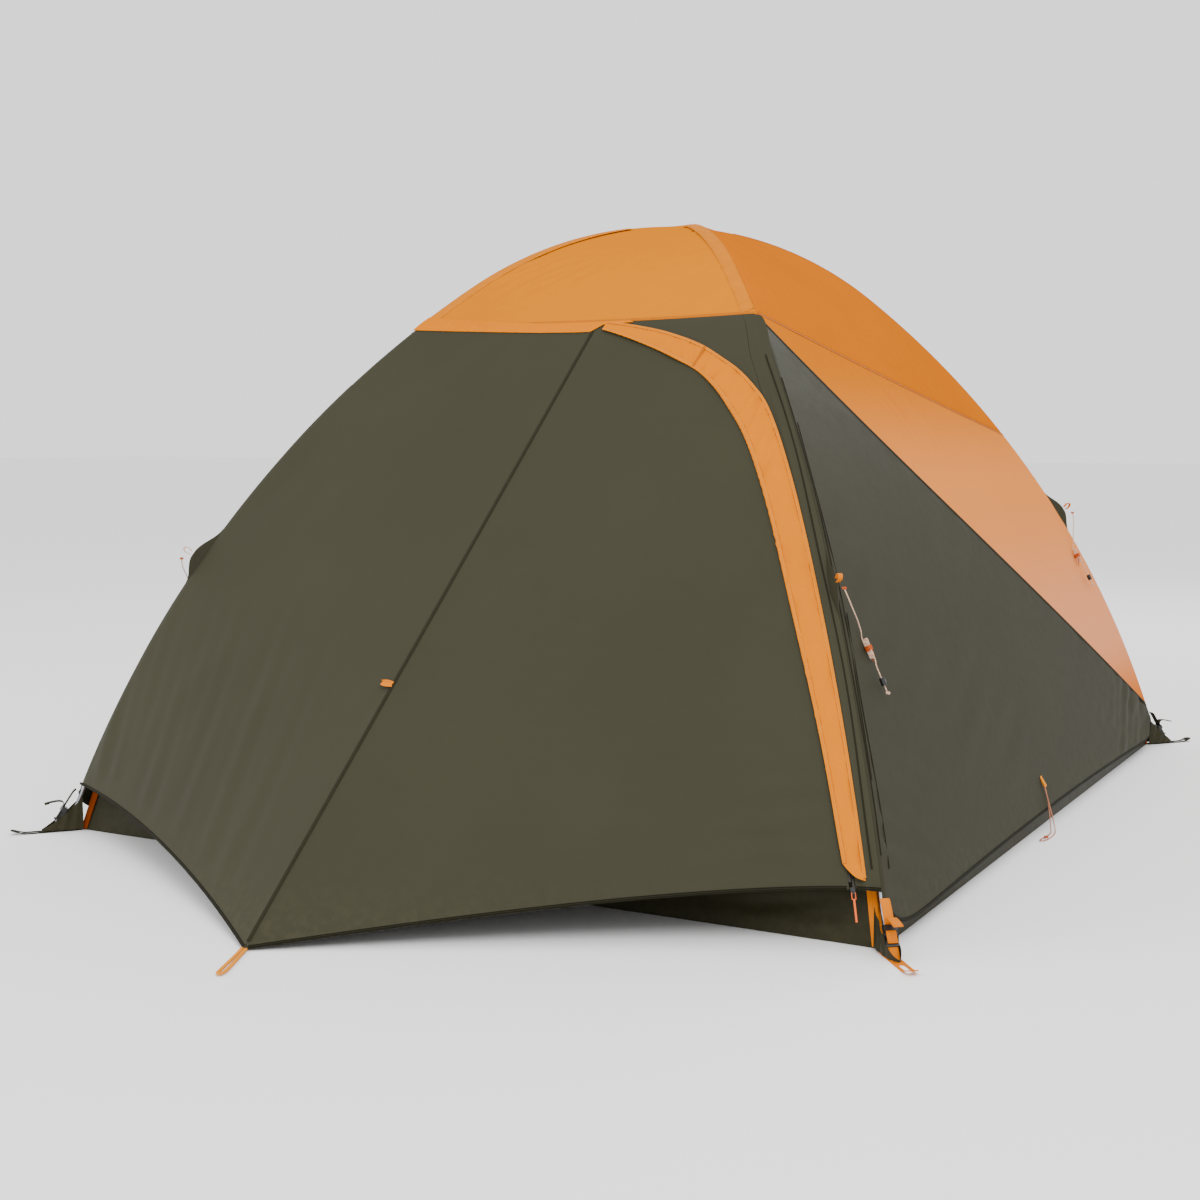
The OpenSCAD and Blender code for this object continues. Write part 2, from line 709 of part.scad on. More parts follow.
// frame on the side panel at a guy point: x down the cloth, y towards the tent's middle, z out
function panel_tilt(t) = atan2(sin(t), ka*cos(t));
module on_side(z)
  let (t = ang(z, fly_gap), p = pt(t, fly_gap))
    translate([ka*p[0], -kb*p[0], p[1]])
      rotate([0, panel_tilt(t), 0])
        children();
function cat(P, i, u) = let (n = len(P), a = P[max(0, i - 1)], b = P[i], c = P[min(n - 1, i + 1)],
    d = P[min(n - 1, i + 2)])
  0.5*(2*b + (c - a)*u + (2*a - 5*b + 4*c - d)*u*u + (3*b - a - 3*c + d)*u*u*u);
function smooth(P, k) = concat([for (i = [0:len(P) - 2], j = [0:k - 1]) cat(P, i, j/k)], [P[len(P) - 1]]);
// round cord along a list of points, one closed solid
module cord(P, d, ref = [0.2, 0.1, 1]) {
  n = len(P);
  m = 8;
  V = [for (i = [0:n - 1]) let (e = P[min(n - 1, i + 1)] - P[max(0, i - 1)], t = e/norm(e),
      u0 = cross(t, ref), u = u0/norm(u0), w = cross(t, u)) for (j = [0:m - 1])
    P[i] + d/2*(cos(360*j/m)*u + sin(360*j/m)*w)];
  polyhedron(V, concat([[for (j = [m - 1:-1:0]) j]], [[for (j = [0:m - 1]) (n - 1)*m + j]],
    [for (i = [0:n - 2], j = [0:m - 1]) let (k = (j + 1) % m) each
      [[i*m + j, i*m + k, (i + 1)*m + k], [i*m + j, (i + 1)*m + k, (i + 1)*m + j]]]));
}
// guy line in the side panel's frame: down from the loop, over the crease, straight to its knot
line_y = 26;
line_z = 8.4;
guy_path = [[16, -31, 30], [36, -22, 27], [60, -4, 20], [84, 14, 13], [104, 24, 9.4],
  [122, line_y, line_z], [150, line_y, line_z], [180, line_y, line_z], [210, line_y, line_z],
  [238, line_y, line_z]];
module guyline(q) color("#d8cdb8")
  quarter(q)
    on_side(q < 2 ? guy_h : guy_rear_h)
      cord(smooth(guy_path, 4), cord_d);
module guyline_fr()
  guyline(0);
module guyline_fl()
  guyline(1);
module guyline_rr()
  guyline(2);
module guyline_rl()
  guyline(3);
module guy_hanks() color("#c08850")
  for (q = [0:3])
    quarter(q)
      on_side(q < 2 ? guy_h : guy_rear_h)
        translate([142, line_y + 8, line_z - 4])
          linear_extrude(height = 8)
            union() {
              translate([-17, -5])
                square([34, 10]);
              translate([-17, 0])
                circle(d = 10);
              translate([17, 0])
                circle(d = 10);
            }
module cord_lock(q) color("black")
  quarter(q)
    on_side(q < 2 ? guy_h : guy_rear_h)
      translate([206, line_y, line_z])
        difference() {
          union() {
            rotate([0, 90, 0])
              cylinder(d = 11, h = 16);
            translate([8, 0, 0])
              rotate([-90, 0, 0])
                cylinder(d = 8, h = 10);
          }
          translate([-1, 0, 0])
            rotate([0, 90, 0])
              cylinder(d = cord_d + 0.9, h = 18);
        }
module cord_lock_fr()
  cord_lock(0);
module cord_lock_fl()
  cord_lock(1);
module cord_lock_rr()
  cord_lock(2);
module cord_lock_rl()
  cord_lock(3);
// doubled peg cord from the side tab down to the ground
peg_path = [[9, -3, 100], [10, -5, 84], [12, -8, 62], [15, -15, 38], [20, -30, 15], [26, -56, 3.4],
  [28, -92, 1.6], [27, -130, 1.6], [21, -152, 1.6], [13, -150, 1.6], [13, -128, 1.6], [17, -94, 1.6],
  [17, -62, 3.4], [12.5, -34, 20], [10, -14, 42], [8, 0, 64], [7.5, 4, 84], [8, 3, 100]];
module side_cord() color("#c99a80")
  translate([side_x(100, 0), side_tab_y, 0])
    cord(smooth([for (p = peg_path) p + [side_x(max(2, p[2]), 0) - side_x(100, 0) - 4, 0, 0]], 3),
      cord_d, [1, 0.15, 0.3]);
module side_cord_right()
  side_cord();
module side_cord_left()
  mirror([1, 0, 0])
    side_cord();

// ---- porch trim ----
module nose_loop() color("#f0a860")
  translate([nose_x, -nose_y - 1, 0])
    rotate([0, 0, -66])
      slot_plate(-30, 150, 17, 60, 136, 9, 1.6);
module tie_toggle() color("#e58f34")
  translate(ridge(0.64, 2.2))
    rotate([atan2(nose_top[1] - nose[1], nose_top[2] - nose[2]), -18, 0])
      union() {
        translate([-22, -9, 0])
          cube([16, 18, 1.6]);
        translate([-17, 15, 2.4])
          rotate([90, 0, 0])
            cylinder(d = 4, h = 30);
      }

pole_over();
pole_under();
pole_ferrules();
pole_tips();
shock_cords();
apex_clip();
pole_clips();
clip_tabs();
corner_webbing();
grommets();
floor_tub();
inner_wall_front();
inner_wall_rear();
inner_wall_left();
inner_wall_right();
inner_roof();
inner_door();
inner_zip_wall();
inner_zip_door();
inner_slider();
fly_cap_front();
fly_cap_rear();
fly_cap_left();
fly_cap_right();
fly_right_upper();
fly_right_lower();
fly_left_upper();
fly_left_lower();
fly_rear();
porch_left();
porch_strip();
fly_door();
storm_flap();
zip_fixed();
zip_door();
zip_slider();
zip_pull();
guy_fins();
webbing_loops();
guyline_fr();
guyline_fl();
guyline_rr();
guyline_rl();
guy_hanks();
cord_lock_fr();
cord_lock_fl();
cord_lock_rr();
cord_lock_rl();
side_cord_right();
side_cord_left();
nose_loop();
tie_toggle();
fly_straps();
buckle_females();
buckle_male_fr();
buckle_male_fl();
buckle_male_rr();
buckle_male_rl();
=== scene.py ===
"""Looks of a two-pole dome tent with its rain fly on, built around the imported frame.

Metres, +Z up, porch towards -Y. Every cloth is a surface of two parameters: v runs down it, f across it.
"""
import math
import bmesh
import bpy
import numpy as np
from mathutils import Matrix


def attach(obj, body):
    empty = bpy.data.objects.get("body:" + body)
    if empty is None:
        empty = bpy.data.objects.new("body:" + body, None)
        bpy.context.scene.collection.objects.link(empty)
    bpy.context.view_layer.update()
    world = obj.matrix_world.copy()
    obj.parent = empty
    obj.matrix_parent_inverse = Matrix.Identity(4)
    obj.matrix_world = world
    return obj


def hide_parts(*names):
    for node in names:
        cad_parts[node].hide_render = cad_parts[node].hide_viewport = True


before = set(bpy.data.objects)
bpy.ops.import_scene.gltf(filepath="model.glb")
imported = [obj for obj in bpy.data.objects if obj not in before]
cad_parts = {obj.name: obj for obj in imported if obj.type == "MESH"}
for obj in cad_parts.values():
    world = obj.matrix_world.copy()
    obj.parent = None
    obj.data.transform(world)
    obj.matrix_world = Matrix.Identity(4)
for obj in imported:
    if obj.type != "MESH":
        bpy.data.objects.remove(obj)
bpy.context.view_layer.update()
TAU = 2*math.pi
MM = 0.001
UP = np.array([0.0, 0.0, 1.0])

# ---- driving sizes, in metres and radians ----
WIDTH, DEPTH, PEAK = 2.080, 2.490, 1.500
FOOT, BEND = math.radians(70), math.radians(33.6)
NOSE = np.array([-0.015, -1.800, 0.003])
GAP = 0.012
INNER = 0.022
SEAM = 0.00025
CREASE = 0.006
CAP_H, CAP_REAR_H, TUB_H, HEM_H, WALL_H = 1.232, 0.955, 0.168, 0.098, 1.020
GUY_H, GUY_REAR_H = 0.655, 0.725
CORD_D = 0.0025
WEB_W = 0.020
QUARTERS = {"fr": (1, 1), "fl": (-1, 1), "rr": (1, -1), "rl": (-1, -1)}

# ---- camera ----
camera = bpy.data.objects.new("camera", bpy.data.cameras.new("camera"))
bpy.context.scene.collection.objects.link(camera)
camera.location = (2.055, -4.191, 0.949)
camera.rotation_euler = (math.radians(84.56), 0, math.radians(28.81))
camera.data.sensor_width = 36
camera.data.lens = 51.21
bpy.context.scene.camera = camera


# ---- shader expressions ----
class Value:
    """A number on a surface: a socket whose operators add Math nodes."""

    def __init__(self, finish, socket):
        self.finish = finish
        self.socket = socket

    def math(self, operation, *others):
        return Value(self.finish, self.finish.node("ShaderNodeMath", {"operation": operation}, self, *others))

    def __add__(self, other):
        return self.math("ADD", other)

    def __mul__(self, other):
        return self.math("MULTIPLY", other)

    def __sub__(self, other):
        return self.math("SUBTRACT", other)

    def __rsub__(self, other):
        return self*-1.0 + other

    __radd__ = __add__
    __rmul__ = __mul__

    def step(self, low, high):
        """0 below low, 1 above high, smooth between them."""
        return Value(self.finish, self.finish.node("ShaderNodeMapRange", {"interpolation_type": "SMOOTHSTEP"},
                                                   self, low, high, 0.0, 1.0))


class Finish:
    """A procedural material. The surface's own numbers come from place(), parts() and noise()."""

    def __init__(self, name, roughness, **settings):
        self.material = bpy.data.materials.new(name)
        self.material.use_nodes = True
        self.tree = self.material.node_tree
        self.shader = self.tree.nodes["Principled BSDF"]
        self.set("Roughness", roughness)
        for socket, value in settings.items():
            self.set(socket.replace("_", " "), value)

    def node(self, kind, settings, *inputs, out=0, **named):
        made = self.tree.nodes.new(kind)
        for key, value in settings.items():
            setattr(made, key, value)
        for key, value in [*enumerate(inputs), *named.items()]:
            self.plug(made.inputs[key], value)
        return made.outputs[out]

    def plug(self, socket, value):
        if isinstance(value, Value):
            value = value.socket
        if isinstance(value, bpy.types.NodeSocket):
            self.tree.links.new(value, socket)
        elif value is not None:
            socket.default_value = value

    def set(self, name, value):
        self.plug(self.shader.inputs[name], value)

    def place(self, kind="Object"):
        return self.node("ShaderNodeTexCoord", {}, out=kind)

    def parts(self, vector):
        split = self.node("ShaderNodeSeparateXYZ", {}, vector)
        return [Value(self, split.node.outputs[i]) for i in range(3)]

    def noise(self, scale, detail=3.0, rough=0.55, vector=None, distortion=0.0):
        return Value(self, self.node("ShaderNodeTexNoise", {}, Vector=vector or self.place(), Scale=scale,
                                     Detail=detail, Roughness=rough, Distortion=distortion))

    def mix(self, amount, low, high):
        """Colour low where amount is 0 and high where it is 1."""
        settings = {"data_type": "RGBA", "clamp_factor": True}
        made = self.node("ShaderNodeMix", settings, amount).node
        self.plug(made.inputs[6], low)
        self.plug(made.inputs[7], high)
        return made.outputs[2]

    def bump(self, height, distance, strength=1.0):
        self.set("Normal", self.node("ShaderNodeBump", {}, Strength=strength, Distance=distance,
                                     Height=height))


PAINT_GAIN, PAINT_POWER = 1.12, 1.45


def rgb(red, green, blue):
    """Paint for an 8-bit colour: its linear value, deepened, because the view's tone curve pales it."""
    linear = [((c/255 + 0.055)/1.055)**2.4 for c in (red, green, blue)]
    return (*[min(1.0, PAINT_GAIN*c**PAINT_POWER) for c in linear], 1.0)


def tint(colour, factor):
    return (*[min(1.0, c*factor) for c in colour[:3]], 1.0)


def fabric(name, colour, roughness=0.62, thread=0.0006, crumple=0.0006, levels=None, dust=0.0, **settings):
    """Coated plain weave: crossing threads, slow and quick mottling, small creases, dust near the ground.

    levels is a list of (height, colour) that the colour runs through from low to high.
    """
    gloss = 0.0 if colour[0] > 0.2 else 0.06
    made = Finish(name, roughness, Specular_IOR_Level=gloss, **settings)
    across, down, _ = made.parts(made.place("UV"))
    threads = (across*(TAU/thread)).math("SINE")*(down*(TAU/thread)).math("SINE")
    slow, quick = made.noise(2.6, 4.0), made.noise(38.0, 3.0)
    creases = made.noise(21.0, 4.0, 0.6, distortion=0.8)
    base = colour
    height = made.parts(made.place())[2]
    if levels:
        base = levels[0][1]
        for (low, _), (high, next_colour) in zip(levels, levels[1:]):
            base = made.mix(height.step(low, high), base, next_colour)
        shade = (slow - 0.5)*0.30 + (quick - 0.5)*0.12 + 0.5 + threads*0.02
        dark = made.node("ShaderNodeMix", {"data_type": "RGBA", "blend_type": "MULTIPLY"}, 1.0).node
        made.plug(dark.inputs[6], base)
        dark.inputs[7].default_value = (0.86, 0.84, 0.82, 1)
        base = made.mix(shade, dark.outputs[2], base)
    else:
        shade = (slow - 0.5)*0.9 + (quick - 0.5)*0.35 + 0.5 + threads*0.05
        base = made.mix(shade, tint(colour, 0.88), tint(colour, 1.10))
    if dust:
        low_down = (1 - height.step(0.0, 0.16))*made.noise(60.0, 5.0).step(0.38, 0.75)
        base = made.mix(low_down*dust, base, rgb(150, 138, 116))
    made.set("Base Color", base)
    made.set("Roughness", (quick - 0.5)*0.12 + roughness)
    made.bump(creases*crumple + threads*0.00002, 1.0, 0.6)
    return made.material


def stitched(name, colour, rows, pitch=0.0034, rib=0.0016, roughness=0.7, thread_colour=None):
    """Woven tape: ribs across it, and dashes of stitching along each row, a distance from the middle."""
    made = Finish(name, roughness, Specular_IOR_Level=0.06)
    across, along, _ = made.parts(made.place("UV"))
    ribs = ((along + across*0.5)*(TAU/rib)).math("SINE")
    dash = (along*(TAU/pitch)).math("SINE").step(-0.35, 0.05)
    stitches = None
    for row in rows:
        line = (1 - (across - row).math("ABSOLUTE").step(0.0002, 0.0006))*dash
        stitches = line if stitches is None else stitches.math("MAXIMUM", line)
    shade = made.noise(30.0, 4.0)
    base = made.mix(shade + ribs*0.08, tint(colour, 0.84), tint(colour, 1.12))
    height = ribs*0.00008
    if stitches is not None:
        base = made.mix(stitches*0.75, base, thread_colour or tint(colour, 0.55))
        height = height + stitches*0.0003
    made.set("Base Color", base)
    made.bump(height, 1.0, 0.8)
    return made.material


def plastic(name, colour, roughness=0.42, grain=900.0):
    """Moulded plastic: fine spark-eroded grain and a few paler rubbed spots."""
    made = Finish(name, roughness)
    rub = made.noise(55.0, 5.0).step(0.55, 0.8)
    made.set("Base Color", made.mix(rub*0.5, colour, tint(colour, 2.2)))
    made.set("Roughness", rub*0.15 + roughness)
    made.bump(made.noise(grain, 2.0)*0.00006, 1.0, 0.5)
    return made.material


def metal(name, colour, roughness=0.32):
    """Drawn tube: fine lines, dull spots, light handling marks."""
    made = Finish(name, roughness, Metallic=1.0)
    spots = made.noise(26.0, 5.0)
    lines = made.noise(420.0, 2.0)
    made.set("Base Color", made.mix(spots, tint(colour, 0.8), tint(colour, 1.1)))
    made.set("Roughness", spots*0.18 + lines*0.08 + (roughness - 0.12))
    made.bump(lines*0.00003, 1.0, 0.4)
    return made.material


def braid(name, colour, fleck, pitch=0.0042):
    """Braided cord: crossing diagonal strands from the cord's own length and turn, with a coloured tracer."""
    made = Finish(name, 0.75, Specular_IOR_Level=0.06)
    turn, along, _ = made.parts(made.place("UV"))
    left = (along*(TAU/pitch) + turn*(TAU*4)).math("SINE")
    right = (along*(TAU/pitch) - turn*(TAU*4)).math("SINE")
    cross = left*right
    tracer = (along*(TAU/pitch/2) + turn*TAU).math("SINE").step(0.72, 0.9)
    base = made.mix(cross*0.5 + 0.5, tint(colour, 0.78), tint(colour, 1.08))
    made.set("Base Color", made.mix(tracer*0.8, base, fleck))
    made.bump(cross*0.00015, 1.0, 0.8)
    return made.material


# The second olive is the same fly cloth painted darker for the side panels: painted shade that offsets the
# key light on that side.
OLIVE, OLIVE_SHADED_SIDE = rgb(87, 86, 72), rgb(81, 80, 67)
ORANGE, FLAP = rgb(207, 142, 0), rgb(212, 142, 0)
olive_cloth = fabric("olive_fly_cloth", OLIVE, dust=0.06)
shaded_olive_side_cloth = fabric("shaded_olive_side_cloth", OLIVE_SHADED_SIDE, dust=0.06)
orange_cloth = fabric("orange_fly_cloth", ORANGE, 0.5, crumple=0.0010)
flap_cloth = fabric("orange_flap_cloth", FLAP, 0.55, crumple=0.0011)
# The cap's side quadrants get their own tone of the orange cloth, set for how the light falls on that side:
# painted light.
cap_side_lit_orange_cloth = fabric("lit_orange_cloth", rgb(200, 130, 6), 0.5, crumple=0.0008)
# Painted sheen: the side's upper wedge is the orange fly cloth drawn pale peach, palest at mid height and
# orange again low and high, for the white sky's sheen on it.
sheen_peach_cloth = fabric("painted_sheen_peach_side_cloth", rgb(226, 175, 152), 0.55, crumple=0.0006, levels=[
    (0.10, rgb(208, 134, 50)), (0.36, rgb(222, 166, 130)), (0.80, rgb(222, 158, 96)),
    (1.15, rgb(206, 138, 30))])
rear_cloth = fabric("orange_rear_cloth", rgb(196, 134, 10), 0.55, crumple=0.0008, dust=0.06)
inner_cloth = fabric("inner_wall_cloth", rgb(74, 71, 56), 0.7, crumple=0.0008)
tub_cloth = fabric("floor_tub_cloth", rgb(78, 76, 61), 0.45, crumple=0.0014, dust=0.04)
# The tub's corner patches are orange; this cloth paints them brownish darker where they sit under the fly:
# painted shade over their own orange.
shaded_patch_cloth = fabric("shaded_corner_patch_cloth", rgb(150, 84, 18), 0.6, crumple=0.0012)
olive_tape = stitched("olive_seam_tape", rgb(72, 70, 56), [-0.0024, 0.0024])
hem_tape = stitched("olive_hem_tape", rgb(52, 50, 38), [0.0], thread_colour=rgb(96, 94, 76))
orange_tape = stitched("orange_seam_tape", rgb(196, 130, 4), [-0.0024, 0.0024])
side_tape = stitched("brown_seam_tape", rgb(186, 122, 62), [-0.0018, 0.0018])
orange_webbing = stitched("orange_webbing", rgb(214, 142, 16), [-0.0075, 0.0075], rib=0.0022)
olive_webbing = stitched("olive_webbing", rgb(66, 64, 48), [-0.0075, 0.0075], rib=0.0022)
mesh_cloth = fabric("inner_mesh", rgb(92, 90, 78), 0.8, thread=0.0018, Alpha=0.62)
pale_webbing = stitched("pale_orange_webbing", rgb(222, 160, 64), [-0.006, 0.006], rib=0.0018)
coil_plastic = plastic("zip_coil_nylon", rgb(58, 54, 42), 0.5)
black_plastic = plastic("black_acetal", rgb(24, 25, 26), 0.4)
pole_metal = metal("anodised_pole_tube", rgb(186, 188, 192))
grommet_metal = metal("grommet_brass", rgb(176, 172, 160), 0.38)
cord_finish = braid("guy_cord_braid", rgb(216, 196, 178), rgb(206, 120, 74))
pink_cord = braid("peg_cord_braid", rgb(206, 158, 132), rgb(150, 84, 56))
hank_cord = braid("hank_tie_braid", rgb(205, 122, 72), rgb(130, 66, 40))


# ---- the frame's lines and surfaces ----
S1, C1, S2, C2 = math.sin(BEND), math.cos(BEND), math.sin(FOOT), math.cos(FOOT)
DET = S1*(C1 - C2) - (S2 - S1)*(1 - C1)
REACH = math.hypot(WIDTH/2, DEPTH/2)
KA, KB = WIDTH/2/REACH, DEPTH/2/REACH
R1 = (REACH*(C1 - C2) - (S2 - S1)*PEAK)/DET
R2 = (S1*PEAK - (1 - C1)*REACH)/DET
MID_Z = PEAK - R1
MID2 = ((R1 - R2)*S1, MID_Z + (R1 - R2)*C1)


def points(*columns):
    """Three coordinates as one array of points."""
    return np.stack(np.broadcast_arrays(*columns), -1).astype(float)


def unit(vectors):
    return vectors/np.maximum(np.linalg.norm(vectors, axis=-1, keepdims=True), 1e-12)


def line(t, o):
    """Distance from the axis and height of the pole line at steepness t, moved out by o: two tangent arcs."""
    top = np.asarray(t) <= BEND
    r = np.where(top, (R1 + o)*np.sin(t), MID2[0] + (R2 + o)*np.sin(t))
    z = np.where(top, MID_Z + (R1 + o)*np.cos(t), MID2[1] + (R2 + o)*np.cos(t))
    return r, z


def steep(z, o=GAP):
    """Steepness of that line at height z."""
    z = np.asarray(z, float)
    upper = np.arccos(np.clip((z - MID_Z)/(R1 + o), -1, 1))
    lower = np.arccos(np.clip((z - MID2[1])/(R2 + o), -1, 1))
    return np.where(z >= line(BEND, o)[1], upper, lower)


def side(t, s, o=GAP):
    """Right side: straight across from the front pole, s = -1, to the rear pole, s = 1."""
    r, z = line(t, o)
    return points(KA*r, s*(KB*r - SEAM), z)


def front(t, s, o=GAP):
    """Front: straight across from the left pole, s = -1, to the right pole, s = 1."""
    r, z = line(t, o)
    return points(s*(KA*r - SEAM), -KB*r, z)


def creased(P, t, sx, sy, o=GAP):
    """P rounded over the pole in quarter (sx, sy): at depth h under the ridge it drops by (2c - h)^2/4c."""
    r, z = line(t, o)
    ridge_point = points(sx*KA*r, sy*KB*r, z)
    out = points(sx*KA*np.sin(t), sy*KB*np.sin(t), np.cos(t))
    c = CREASE*np.sin(t) + 1e-9
    h = np.clip(-((P - ridge_point)*out).sum(-1), 0, 2*c)
    return P - out*((2*c - h)**2/(4*c))[..., None]


CAP_T, CAP_REAR_T = float(steep(CAP_H)), float(steep(CAP_REAR_H))
SPLIT_END = float(steep(0.122))
GAP_T = math.radians(0.012)


def front_seam(s):
    return CAP_T + math.radians(0.3)*(1 - s*s)


def side_seam(s):
    return CAP_T + (CAP_REAR_T - CAP_T)*((s + 1)/2)**1.08


def split_seam(s):
    start = CAP_T + math.radians(0.35)
    return start + (SPLIT_END - start)*((s + 1)/2)**1.06


def hem_height(s):
    """Height of the side hem: low in the middle, higher in a short curve at each corner strap."""
    return 0.024 + 0.020*(1 - s*s) + (HEM_H - 0.024)*np.abs(s)**24


def side_hem(s):
    return steep(hem_height(s))


def lerp(a, b, f):
    return a + (b - a)*f


def lerp3(a, b, f):
    return a + (b - a)*np.asarray(f)[..., None]


# ---- porch surfaces ----
NOSE_S = 0.12
NOSE_TOP = front(front_seam(NOSE_S) + GAP_T, NOSE_S)
RIDGE_IN = unit(np.cross([1.0, 0, 0], unit(NOSE - NOSE_TOP)))
PORCH_END_T = float(steep(-0.028))
ZIP_SHIFT = np.array([-0.054, -0.015, 0])
ZIP_W = float(np.linalg.norm(ZIP_SHIFT))
MIRROR_X = np.array([-1.0, 1, 1])


def ridge(v, k):
    """Porch ridge: a straight line from the cap seam to the nose, k outwards."""
    return lerp3(NOSE_TOP, NOSE, v) - np.asarray(k)[..., None]*RIDGE_IN


def leg_t(v):
    return CAP_T + GAP_T + (PORCH_END_T - CAP_T - GAP_T)*v


def leg(v, k):
    """Front right pole's line at v down the porch, k outwards."""
    r, z = line(leg_t(v), GAP + k)
    return points(KA*r, -KB*r - 0.0004, z)


def left_hem(f):
    return 1 - 0.094*(1 - (1 - f)**1.7)


def left_pt(v, f, k):
    """Left porch: straight from the ridge, f = 0, to the pole, f = 1, bent at the top to meet the cap."""
    w = v*left_hem(f)
    k = np.broadcast_to(np.asarray(k, float), np.broadcast(w, f).shape)
    a = ridge(w, k) - points(0.0009*(1 - f), 0, 0)
    b = leg(w, k)*MIRROR_X
    s = lerp(NOSE_S, -1, f)
    c = front(front_seam(s) + GAP_T, s, GAP + k)
    start = lerp3(ridge(0*w, k), leg(0*w, k)*MIRROR_X, f)
    return lerp3(a, b, f) + (c - start)*(np.maximum(0, 1 - 5*w)**2)[..., None]


def right_hem(f):
    return 1 - 0.094*(1 - (1 - f)**1.6)


def right_pt(w, d, k):
    """Right porch at w down it and d from the pole towards the ridge, k outwards."""
    w, d, k = (np.asarray(x, float) for x in np.broadcast_arrays(w, d, k))
    z = leg(w, k) + ZIP_SHIFT
    r = ridge(w, k) + np.array([0.0015, 0, 0])
    over = np.clip((d - ZIP_W)/np.linalg.norm(r - z, axis=-1), 0, 1)
    q = np.where((d <= ZIP_W)[..., None], leg(w, k) + ZIP_SHIFT*(d/ZIP_W)[..., None], lerp3(z, r, over))
    sx = q[..., 0]/(KA*line(CAP_T, GAP)[0])
    c = front(front_seam(sx) + GAP_T, sx, GAP + k)
    lift = (c - q)*np.array([0, 1, 1])
    return q + lift*(np.maximum(0, 1 - 9*w)**2)[..., None]


def span(w):
    return ZIP_W + np.linalg.norm(ridge(w, 0*w) + np.array([0.0015, 0, 0]) - leg(w, 0*w) - ZIP_SHIFT, axis=-1)


def door_w(v, f):
    return v*right_hem(1 - f)


ZIP_TOP_H, ZIP_HALF = 0.915, 0.0058
STRIP_END, STRIP_W = 0.906, ZIP_W - 0.0064


def zip_gap(w):
    """Distance of the door's edge from the strip's edge along the zip, closed above the zip's top end."""
    top = float((steep(ZIP_TOP_H) - leg_t(0.0))/(leg_t(1.0) - leg_t(0.0)))
    return ZIP_W + lerp(-ZIP_HALF, ZIP_HALF, smoothstep(w, top - 0.07, top - 0.02))


# ---- meshes ----
CREASE_LINES = np.array([0, 2.5, 5, 8, 12, 17, 24])*MM


def spaced(width, pitch):
    """Grid lines from 0 to 1 across a width: close at the rounded creases, then about pitch apart."""
    near = CREASE_LINES/width
    inside = np.linspace(near[-1], 1 - near[-1], max(3, int(width/pitch)))
    return np.concatenate([near[:-1], inside, 1 - near[:-1][::-1]])


def mesh_grid(rows, cols):
    """Row and column parameters as two arrays of the grid's shape."""
    return np.meshgrid(rows, cols, indexing="ij")


def grid_normals(P, out_from):
    """Unit normals of a grid, away from the point out_from."""
    n = np.cross(np.gradient(P, axis=1), np.gradient(P, axis=0))
    n = np.where(np.linalg.norm(n, axis=-1, keepdims=True) < 1e-13, UP*0, n)
    n = unit(n)
    sign = np.sign(((P - out_from)*n).sum())
    n = n*sign
    empty = np.linalg.norm(n, axis=-1) < 0.5
    n[empty] = UP
    return n


def grid_uv(P):
    """Distances across and down the grid, in metres, from its own points."""
    across = np.concatenate([np.zeros((P.shape[0], 1)),
                             np.cumsum(np.linalg.norm(np.diff(P, axis=1), axis=-1), 1)], 1)
    down = np.concatenate([np.zeros((1, P.shape[1])),
                           np.cumsum(np.linalg.norm(np.diff(P, axis=0), axis=-1), 0)], 0)
    return np.stack([across - across.mean(1, keepdims=True), down], -1)


def grid_faces(n, m):
    i = (np.arange(n - 1)[:, None]*m + np.arange(m - 1)[None]).ravel()
    return np.stack([i, i + 1, i + m + 1, i + m], -1)


def area_of(P):
    """Area of a grid from its two diagonals."""
    a, b = P[1:, 1:] - P[:-1, :-1], P[1:, :-1] - P[:-1, 1:]
    return float(np.linalg.norm(np.cross(a, b), axis=-1).sum()/2)


